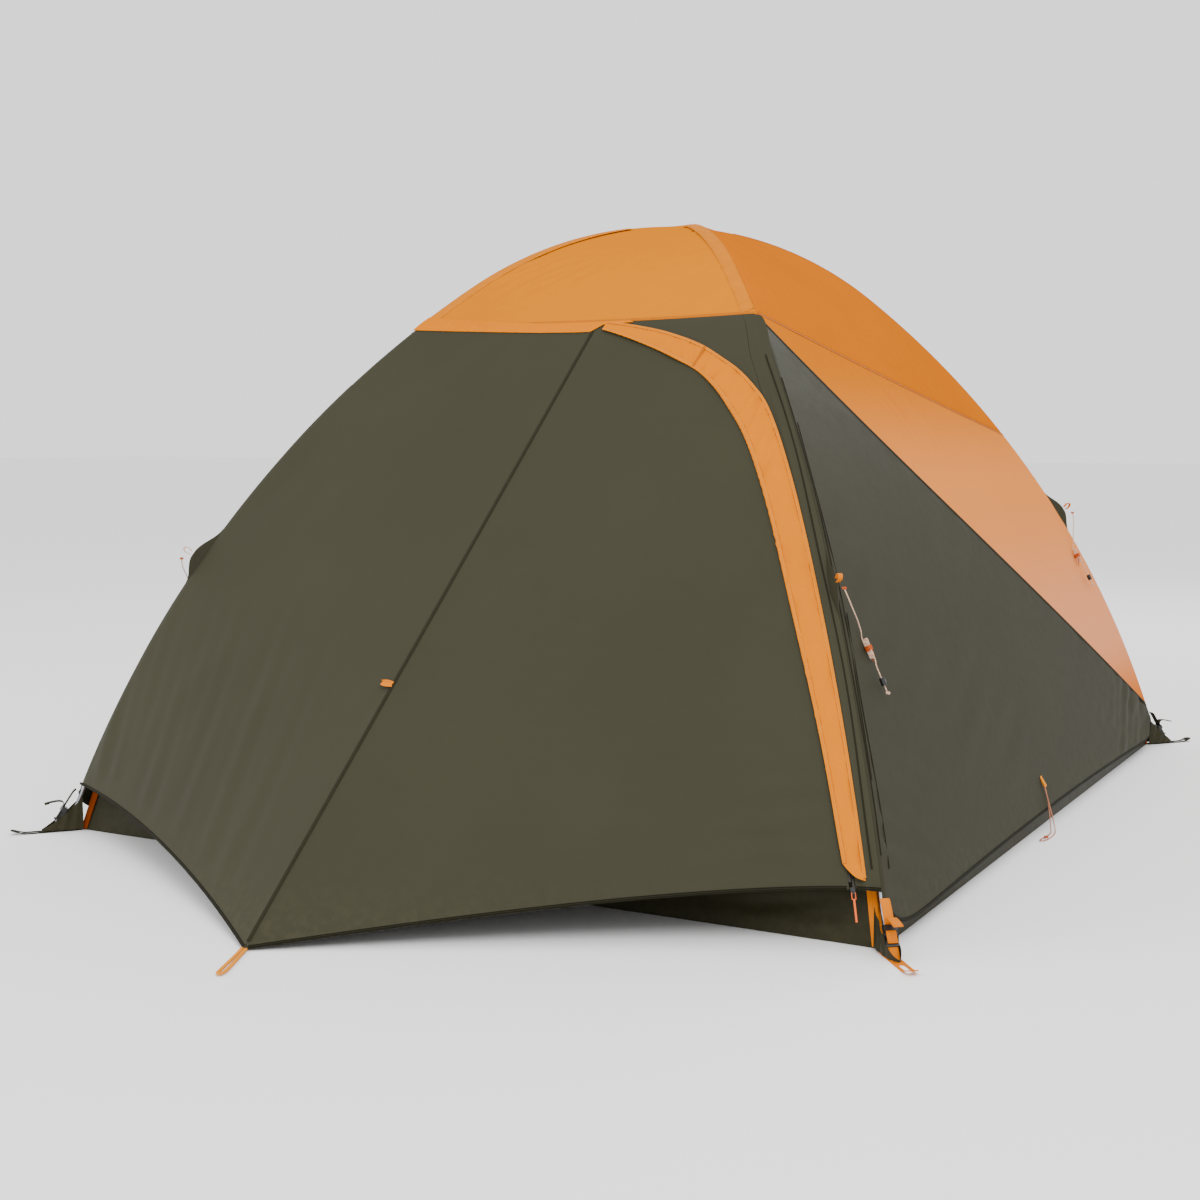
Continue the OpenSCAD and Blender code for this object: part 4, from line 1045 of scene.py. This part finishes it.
def make_cap_band():
    """Upper end of the storm flap: a narrow band under the cap's edge from the left pole to the flap."""
    v, f = mesh_grid(np.linspace(0, 1, 12), np.linspace(0, 1, 90))
    s = lerp(-0.995, 0.30, f)
    above = lerp(0.034, 0.0, np.clip(f/0.62, 0, 1))
    below = lerp(0.004, 0.017, np.clip(f/0.62, 0, 1))*smoothstep(1 - f, -0.3, 0.25)
    top = front(front_seam(s) - above*T_PER_M, s, GAP + 0.0022)
    share = np.clip((NOSE_S - s)/(NOSE_S + 1), 0, 1)
    low = left_pt(0.012 + below/1.9 + 0*s, share, 0.0022 + 0*s)
    right = right_pt(0.012 + below/1.9 + 0*s, (1 - s)*KA*line(CAP_T, GAP)[0], 0.0030 + 0*s)
    low = np.where((s > NOSE_S)[..., None], right, low)
    P = lerp3(top, low, v)
    band = Piece("cap_edge_band", flap_cloth)
    band.sheet(P, 0.0010, drape=0.0012*np.sin(math.pi*v)
               + 0.0005*folds(s, v*0.02, 88, 0.05, 95)*near_edges(v, 0.3))
    band.make("tent", "orange")


make_cap()
make_side("right", np.ones(3), 31)
make_side("left", MIRROR_X, 47)
make_rear()
make_porch()
make_flap()
make_cap_band()
make_seams()


# ---- guy points ----
def guy_fin(piece, quarter):
    """A pleat pinched up along the crease: its height is a long, off-centre hump, its foot a narrow V."""
    x, f = mesh_grid(np.linspace(-0.080, 0.080, 44), np.linspace(-1, 1, 15))
    height = 0.0252*np.where(x < 0.006, smoothstep(x, -0.080, 0.006), smoothstep(-x, -0.080, -0.018))
    width = 0.0022 + 0.007*height/0.025
    z = GAP - CREASE*0.86 + 0.0003 + height*(1 - np.abs(f)**1.25) - 0.003*np.abs(f)
    piece.sheet(on_leg(quarter, points(x, width*f, z)), CLOTH)


# The fins take the side's olive, painted darker as painted shade.
fins = Piece("guy_point_fins", shaded_olive_side_cloth)
loops = Piece("guy_point_loops", orange_webbing, pale_webbing)
loop_path = np.array([[7.5, 0, 38], [6.2, 0, 45], [5.8, 0, 51], [8, 0, 56], [12, 0, 58], [16, 0, 56],
                      [18.2, 0, 51],
                      [17.8, 0, 45], [16.5, 0, 38]])*MM
for quarter in QUARTERS:
    guy_fin(fins, quarter)
    across = on_leg(quarter, [0, 1.0, 0]) - on_leg(quarter, [0, 0.0, 0])
    loops.sweep(on_leg(quarter, along(loop_path, np.linspace(0, 1, 40))), flat_profile(0.010, 0.0012), across)
fins.make("tent", "olive", ["guy_fins"])
TAB_LEAN = math.radians(-16.5)
tab_path = np.array([[1.2, 0, 14], [1.5, 0, 4], [2.5, 0, -6], [5.0, 0, -13], [6.5, 0, -13.5], [6.6, 0, -9],
                     [4.2, 0, -1], [3.0, 0, 6]])*MM
for mirror in (np.ones(3), MIRROR_X):
    c, s = math.cos(TAB_LEAN), math.sin(TAB_LEAN)
    swing = np.array([[c, 0, -s], [0, 1, 0], [s, 0, c]])
    path = along(tab_path, np.linspace(0, 1, 36)) @ swing + np.array([float(side_x(TAB_Z)), TAB_Y, TAB_Z])
    loops.sweep(path*mirror, flat_profile(0.014, 0.0012), [0, 1.0, 0], 1)
loops.make("tent", "webbing", ["webbing_loops"])


# ---- corners ----
def corner(quarter, P):
    """Points in a corner's frame: x outwards from the axis along the pole's plane, y across it, z up."""
    sx, sy = QUARTERS[quarter]
    P = np.asarray(P, float)
    at = P[..., :1]*np.array([KA, -KB, 0]) + P[..., 1:2]*np.array([KB, KA, 0]) + P[..., 2:]*UP
    return at*np.array([sx, sy, 1])


STRAP_LEAN = math.radians(33)


def on_strap(quarter, x, y, z):
    """Points in a corner strap's frame: x out of its face, y across it, z up along it."""
    r = REACH + 0.036 + x*math.cos(STRAP_LEAN) - z*math.sin(STRAP_LEAN)
    return corner(quarter, points(r, y, 0.005 + x*math.sin(STRAP_LEAN) + z*math.cos(STRAP_LEAN)))


def across_corner(quarter):
    return corner(quarter, [0, 1.0, 0])


def strap_run(piece, quarter, xz, width, thick, finish=0, count=30):
    """Webbing along a line of (out, up) millimetres in the strap's frame."""
    run = along(np.array(xz)*MM, np.linspace(0, 1, count))
    piece.sweep(on_strap(quarter, run[:, 0], 0, run[:, 1]), flat_profile(width, thick),
                across_corner(quarter), finish)


def peg_plate(piece, quarter, finish):
    """Corner webbing on the ground: rays from the peg slot, v = 0, to the outline, v = 1, tip turned up."""
    v, a = mesh_grid(np.linspace(0, 1, 14), np.linspace(0, TAU, 97))
    c, s = np.cos(a), np.sin(a)
    slot = ((np.abs(c)/0.023)**6 + (np.abs(s)/0.006)**6)**(-1/6)
    half, back, tip = 0.0125, 0.122, 0.030
    sides = half/np.maximum(np.abs(s), 1e-6)
    rear = np.where(c < 0, back/np.maximum(-c, 1e-6), 9.0)
    end = np.where((c > 0) & (np.abs(s)*tip < half), tip*c + np.sqrt(np.maximum(half**2 - (tip*s)**2, 0)),
                   9.0)
    outer = np.minimum(np.minimum(sides, rear), np.where((c > 0) & (sides*c > tip), end, 9.0))
    r = lerp(slot, outer, v)
    x = REACH + 0.089 + r*c
    lift = 0.0016 + 0.009*smoothstep(x, REACH + 0.085, REACH + 0.132)**2
    piece.sheet(corner(quarter, points(x, r*s, lift)), 0.0015, finish, out_from=(0, 0, -9))


def riser(piece, quarter, finish):
    """Webbing up the tub's corner: folded along the corner, v up it, f across it."""
    v, f = mesh_grid(np.linspace(0, 1, 22), np.linspace(-1, 1, 13))
    sx, sy = QUARTERS[quarter]
    low, top = REACH - 0.034, line(steep(TUB_H + 0.002, -INNER), -INNER)[0]
    r = lerp(low, top, v*0.93)
    P = points(KA*r + np.minimum(f, 0)*0.017, -KB*r + np.maximum(f, 0)*0.017, 0.002 + TUB_H*0.93*v)
    piece.sheet(P*np.array([sx, sy, 1]), 0.0012, finish, drape=0.0030 + 0*v)


def foot_pocket(piece, quarter, finish):
    """Fabric walls round a pole foot: f runs round them from the tub's corner and back, v up them."""
    v, f = mesh_grid(np.linspace(0, 1, 10), np.linspace(-1, 1, 61))
    far = np.abs(f)
    top = 0.004 + 0.072*far**1.25
    half = 0.0145*np.sign(f)*(1 - (1 - far)**6)
    P = corner(quarter, points(REACH + 0.060 - 0.096*far, half, 0.0034 + top*v))
    piece.sheet(P, CLOTH, finish, out_from=corner(quarter, [REACH, 0, 0.02]),
                drape=0.0016*np.sin(f*22 + v*3)*smoothstep(far, 0.2, 0.5)*smoothstep(1 - far, 0, 0.2))


webbing = Piece("corner_webbing_straps", orange_webbing, olive_webbing)
straps = Piece("fly_corner_straps", orange_webbing, olive_webbing)
patches = Piece("tub_corner_patches", shaded_patch_cloth, orange_webbing, tub_cloth)
for quarter in QUARTERS:
    tone = 0 if quarter == "fr" else 1
    peg_plate(webbing, quarter, tone)
    # The three corners under the fly get the darker patch cloth, painted shade; the front corner gets the
    # bright orange.
    riser(patches, quarter, 1 if quarter == "fr" else 0)
    foot_pocket(patches, quarter, 2)
    strap_run(webbing, quarter, [(0.4, 19.5), (0.4, 8), (0.8, 0), (3.5, -4.4), (9, -9.0)], WEB_W, 0.0012,
              tone)
    strap_run(webbing, quarter, [(-3.4, 19.5), (-3.4, 8), (-3.8, 2.4), (-6, 0.4), (-10, 2.8)], WEB_W, 0.0012,
              tone)
    strap_run(straps, quarter, [(2.6, 111), (5.2, 104), (5.8, 90), (5.8, 70), (5.8, 50), (5.8, 27)], 0.0196,
              0.0014, tone)
    strap_run(straps, quarter, [(6.2, 27.6), (9.6, 26.6), (9.8, 25.6), (6.2, 25.2)], 0.0196, 0.0012, tone)
    tail = Piece("strap_tail_" + quarter, orange_webbing if tone == 0 else olive_webbing)
    strap_run(tail, quarter, [(7.6, 62.5), (8.6, 66), (13, 69.5), (21, 68), (31, 61), (41, 52), (47, 46)],
              0.0194, 0.0014)
    strap_run(tail, quarter, [(39.5, 52.0), (44, 47.6), (47.4, 44.2)], 0.0198, 0.0026)
    tail.make("buckle_" + quarter, "webbing")
webbing.make("tent", "webbing", ["corner_webbing"])
straps.make("tent", "webbing", ["fly_straps"])
patches.make("tent", "webbing")

# ---- porch nose loop and tie ----
NOSE_TURN = math.radians(-66)
nose_ahead = np.array([math.cos(NOSE_TURN), math.sin(NOSE_TURN), 0])
nose_across = np.array([-math.sin(NOSE_TURN), math.cos(NOSE_TURN), 0])
nose_foot = np.array([NOSE[0], NOSE[1] - 0.001, 0])
loop_half = np.array([[-26, 4.2, 4.2], [0, 4.2, 3.4], [30, 4.4, 2.6], [70, 5.2, 2.4], [110, 5.8, 2.6],
                      [134, 5.2, 3.2],
                      [145, 2.8, 4.0], [148, 0, 4.2]])*MM
loop_line = np.concatenate([loop_half, (loop_half*np.array([1, -1, 1]))[-2::-1]])
loop_line = along(loop_line, np.linspace(0, 1, 110))
nose_path = nose_foot + loop_line[:, :1]*nose_ahead + loop_line[:, 1:2]*nose_across + loop_line[:, 2:]*UP
nose_piece = Piece("nose_peg_loop", pale_webbing)
turned = unit(np.cross(unit(np.gradient(nose_path, axis=0)), UP))
nose_piece.sweep(nose_path, flat_profile(0.0074, 0.0028), turned)
nose_piece.make("tent", "webbing", ["nose_loop"])

toggle_at = ridge(0.64, 0.0022)
toggle = Piece("tie_back_loop", orange_webbing)
slope = unit(NOSE - NOSE_TOP)
tie_line = np.array([[0, 0, 1.0], [-6, 2, 3.4], [-14, 3, 5.2], [-21, 1, 5.0], [-24, -3, 3.6], [-18, -6, 2.0],
                     [-8, -5, 1.4],
                     [0, -3, 1.2]])*MM
tie_run = along(tie_line, np.linspace(0, 1, 50))
tie_path = toggle_at + tie_run[:, :1]*np.array([1.0, 0, 0]) + tie_run[:, 1:2]*slope - tie_run[:, 2:]*RIDGE_IN
toggle.sweep(tie_path, flat_profile(0.010, 0.0014), slope)
toggle.make("tent", "orange", ["tie_toggle"])


# ---- inner tent ----
def reach(a, radius, planes):
    """Distance along direction a to the nearest of a circle and the straight sides n.p = d."""
    r = np.full(a.shape, radius)
    for nx, ny, d in planes:
        facing = nx*np.cos(a) + ny*np.sin(a)
        r = np.minimum(r, np.where(facing > 1e-6, d/np.maximum(facing, 1e-6), 99.0))
    return r


low_r, low_z = (float(x) for x in line(steep(TUB_H + 0.002, -INNER), -INNER))
up_r, up_z = (float(x) for x in line(steep(WALL_H, -INNER), -INNER))
RISE = math.hypot(KB*(low_r - up_r), up_z - low_z)
TILT = math.atan2(up_z - low_z, KB*(low_r - up_r))
LEAN = math.atan2(KA*(low_r - up_r), RISE)
DOOR_AT, DOOR_R, HINGE_FOOT = (-0.060, 0.300), 0.480, -0.470


def on_front(a, b, c=0.0):
    """Points in the inner front wall's frame: a across, b up the wall, c outwards."""
    return points(a, -KB*low_r + b*math.cos(TILT) - c*math.sin(TILT),
                  low_z + b*math.sin(TILT) + c*math.cos(TILT))


def door_planes(grow):
    """Threshold and hinge side of the inner door, as seen from the middle of its round part."""
    threshold = (0, -1, DOOR_AT[1] - 0.060 + grow)
    n = (-math.cos(LEAN), math.sin(LEAN))
    foot = (HINGE_FOOT - grow - DOOR_AT[0], 0.060 - grow - DOOR_AT[1])
    return [threshold, (*n, n[0]*foot[0] + n[1]*foot[1])]


def wall_planes():
    n = (math.cos(LEAN), math.sin(LEAN))
    right = n[0]*(KA*low_r - DOOR_AT[0]) + n[1]*(0 - DOOR_AT[1])
    left = n[0]*(KA*low_r + DOOR_AT[0]) + n[1]*(0 - DOOR_AT[1])
    return [(0, -1, DOOR_AT[1]), (0, 1, RISE - DOOR_AT[1]), (n[0], n[1], right), (-n[0], n[1], left)]


def wrinkled(P, seed, depth, fade, a=0, b=2, lie=70, wave=0.14):
    return folds(P[..., a], P[..., b], lie, wave, seed)*patchy(P[..., a], P[..., b], 0.5, seed + 1)*depth*fade


def make_inner():
    a = np.linspace(0, TAU, 289)
    v, a = mesh_grid(np.linspace(0, 1, 34), a)
    hole = reach(a, DOOR_R + 0.007, door_planes(0.007))
    wall = reach(a, 9.0, wall_planes())
    r = lerp(hole, wall, v)
    P = on_front(DOOR_AT[0] + r*np.cos(a), DOOR_AT[1] + r*np.sin(a), 0.0016)
    piece = Piece("inner_front_wall", inner_cloth).sheet(P, CLOTH,
                                                         drape=wrinkled(P, 101, 0.0020, near_edges(v, 0.2)))
    piece.make("tent", "inner", ["inner_wall_front"])
    v, a = mesh_grid(np.linspace(0, 1, 30), np.linspace(0, TAU, 289))
    r = v*reach(a, DOOR_R - 0.0042, door_planes(-0.0042))
    P = on_front(DOOR_AT[0] + r*np.cos(a), DOOR_AT[1] + r*np.sin(a), 0.0016)
    piece = Piece("inner_door_leaf", inner_cloth)
    piece.sheet(P, CLOTH, drape=wrinkled(P, 105, 0.0026, smoothstep(1 - v, 0, 0.2)*smoothstep(v, 0, 0.1)))
    leaf = piece.make("inner_door", "inner", ["inner_door"], weld=True)
    v, f = mesh_grid(np.linspace(0, 1, 50), np.linspace(0, 1, 100))
    r, z = lerp(low_r, up_r, v), lerp(low_z, up_z, v)
    fade = near_edges(v, 0.1)*near_edges(f, 0.06)
    P = points((2*f - 1)*KA*r, KB*r, z)
    piece = Piece("inner_rear_wall", inner_cloth).sheet(P, CLOTH,
                                                        drape=wrinkled(P, 111, 0.0030, fade) - 0.012*fade)
    piece.make("tent", "inner", ["inner_wall_rear"])
    for name, mirror, seed in (("right", np.ones(3), 121), ("left", MIRROR_X, 131)):
        P = points(KA*r, (2*f - 1)*KB*r, z)*mirror
        piece = Piece("inner_%s_wall" % name, inner_cloth)
        piece.sheet(P, CLOTH, drape=wrinkled(P, seed, 0.0030, fade, 1) - 0.012*fade)
        piece.make("tent", "inner", ["inner_wall_" + name])
    roof = Piece("inner_mesh_roof", mesh_cloth)
    v, f = mesh_grid(np.linspace(0, 1, 40), np.linspace(0, 1, 60))
    t = v*(float(steep(WALL_H, -INNER)) - 0.002)
    sag = -0.010*np.sin(math.pi*v)*near_edges(f, 0.3)
    for P, mirror in ((front(t, 2*f - 1, -INNER), (1, 1, 1)), (front(t, 2*f - 1, -INNER), (1, -1, 1)),
                      (side(t, 2*f - 1, -INNER), (1, 1, 1)), (side(t, 2*f - 1, -INNER), (-1, 1, 1))):
        roof.skin(P*np.array(mirror), 0, sag)
    made = roof.make("tent", "mesh", ["inner_roof"], weld=True)
    thicken(made, MESH)


def make_tub():
    """Floor tub: one sheet of square rings, from the middle of the floor out to its edge and up the wall."""
    b = REACH - 0.034
    ring = np.linspace(0, 1, 61)[:-1]
    a = np.concatenate([2*ring - 1, 1 + 0*ring, 1 - 2*ring, -1 + 0*ring, [-1.0]])
    c = np.concatenate([-1 + 0*ring, 2*ring - 1, 1 + 0*ring, 1 - 2*ring, [-1.0]])
    levels = np.concatenate([np.linspace(0, 0.985, 22), np.linspace(1, 2, 26)])
    v, a = mesh_grid(levels, a)
    c = np.broadcast_to(c, v.shape)
    wall = np.clip(v - 1, 0, 1)
    r = np.where(v <= 1, b*v, lerp(b, low_r, wall))
    z = 0.0003 + (TUB_H - 0.0003)*wall
    P = points(KA*r*a, KB*r*c, z)
    corner_fade = 1 - smoothstep(np.minimum(np.abs(a), np.abs(c)), 0.90, 0.99)
    slack = folds(P[..., 0] + P[..., 1], P[..., 2]*1.2, 8, 0.05, 141)*0.0022 + folds(P[..., 0], P[..., 1], 30,
                                                                                     0.2, 142)*0.002
    drape = (slack - 0.010*np.sin(math.pi*wall))*smoothstep(wall, 0.02, 0.3)*corner_fade
    tub = Piece("floor_tub_cloth", tub_cloth).sheet(P, CLOTH, drape=np.minimum(drape, 0.001),
                                                    out_from=(0, 0, 0.4))
    made = tub.make("tent", "floor", ["floor_tub"], weld=True)


make_inner()
make_tub()

tabs = Piece("pole_clip_tabs", inner_cloth)
clip_heights = (0.300, 0.480, 0.660, 0.840, 1.000)


def tab_drop(t):
    """Distance from the pole's line to the inner tent's corner at steepness t."""
    if t < float(steep(WALL_H, -INNER)):
        return INNER
    r, z = (float(x) for x in line(t, 0))
    edge = unit(np.array([up_r - low_r, up_z - low_z]))
    n = np.array([edge[1], -edge[0]])
    return float(((r - low_r)*n[0] + (z - low_z)*n[1])/(n[0]*math.sin(t) + n[1]*math.cos(t)))


POLE_STEP = 0.0096


def lower_pole(t):
    """How far the lower pole's line lies under the upper pole's at steepness t."""
    peak = PEAK - POLE_STEP
    r1, r2 = (REACH*(C1 - C2) - (S2 - S1)*peak)/DET, (S1*peak - (1 - C1)*REACH)/DET
    r, z = (r1*math.sin(t), peak - r1 + r1*math.cos(t)) if t <= BEND else \
        ((r1 - r2)*S1 + r2*math.sin(t), peak - r1 + (r1 - r2)*C1 + r2*math.cos(t))
    upper = line(t, 0)
    return (float(upper[0]) - r)*math.sin(t) + (float(upper[1]) - z)*math.cos(t)


for quarter in QUARTERS:
    sx, sy = QUARTERS[quarter]
    for t in [math.radians(22)] + [float(steep(z, 0)) for z in clip_heights]:
        lower = 0.0 if quarter in ("fr", "rl") else lower_pole(t)
        length = tab_drop(t)
        radial = np.array([KA, -KB, 0])
        foot = float(line(t, 0)[0])*radial + float(line(t, 0)[1])*UP
        out = math.sin(t)*radial + math.cos(t)*UP
        down = (math.cos(t)*radial - math.sin(t)*UP)*np.array([sx, sy, 1])
        path = foot + np.linspace(-length + 0.0018, -0.0098 - lower, 8)[:, None]*out
        tabs.sweep(path*np.array([sx, sy, 1]), flat_profile(0.011, 0.0013), down)
tabs.make("tent", "webbing", ["clip_tabs"])


# ---- finishes of the nodes that stay ----
def dress(material, *names):
    for name in names:
        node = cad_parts[name]
        for place in node.material_slots:
            place.material = material


dress(pole_metal, "pole_over", "pole_under")
dress(metal("ferrule_tube", rgb(128, 130, 134), 0.4), "pole_ferrules")
dress(grommet_metal, "grommets")
dress(black_plastic, "pole_tips", "apex_clip", "pole_clips", "buckle_females", "zip_slider", "inner_slider")
dress(black_plastic, *["buckle_male_" + q for q in QUARTERS], *["cord_lock_" + q for q in QUARTERS])
dress(coil_plastic, "zip_fixed", "zip_door", "inner_zip_wall", "inner_zip_door")
dress(plastic("elastic_sheath", rgb(214, 210, 200), 0.8, 300.0), "shock_cords")
dress(plastic("pull_cord", rgb(226, 128, 62), 0.8, 500.0), "zip_pull")


# ---- floor and light ----
def area_light(name, place, size, power, aim=(0, 0, 0.6)):
    lamp = bpy.data.objects.new(name, bpy.data.lights.new(name, "AREA"))
    bpy.context.scene.collection.objects.link(lamp)
    lamp.data.shape = "SQUARE"
    lamp.data.size = size
    lamp.data.energy = power
    away = np.array(place, float) - np.array(aim, float)
    lamp.location = place
    lamp.rotation_euler = (math.atan2(math.hypot(away[0], away[1]), away[2]), 0,
                           math.atan2(away[0], -away[1]))


ground = bpy.data.meshes.new("studio_floor")
ground.from_pydata([(-60, -60, 0), (60, -60, 0), (60, 60, 0), (-60, 60, 0)], [], [(0, 1, 2, 3)])
floor = bpy.data.objects.new("studio_floor", ground)
floor.location.z = -0.0006
bpy.context.scene.collection.objects.link(floor)
pale = Finish("studio_floor_paint", 0.9)
pale.set("Base Color", (0.92, 0.92, 0.92, 1))
ground.materials.append(pale.material)
SKY_STRENGTH = 1.5
world = bpy.data.worlds.new("studio")
world.use_nodes = True
world.node_tree.nodes["Background"].inputs["Color"].default_value = (1, 1, 1, 1)
world.node_tree.nodes["Background"].inputs["Strength"].default_value = SKY_STRENGTH
bpy.context.scene.world = world
area_light("key", (3.5, -4.5, 5.0), 3.5, 300)
area_light("fill", (-4.5, -4.5, 2.6), 3.0, 120)
area_light("back", (0.5, 5.5, 4.5), 3.0, 120)
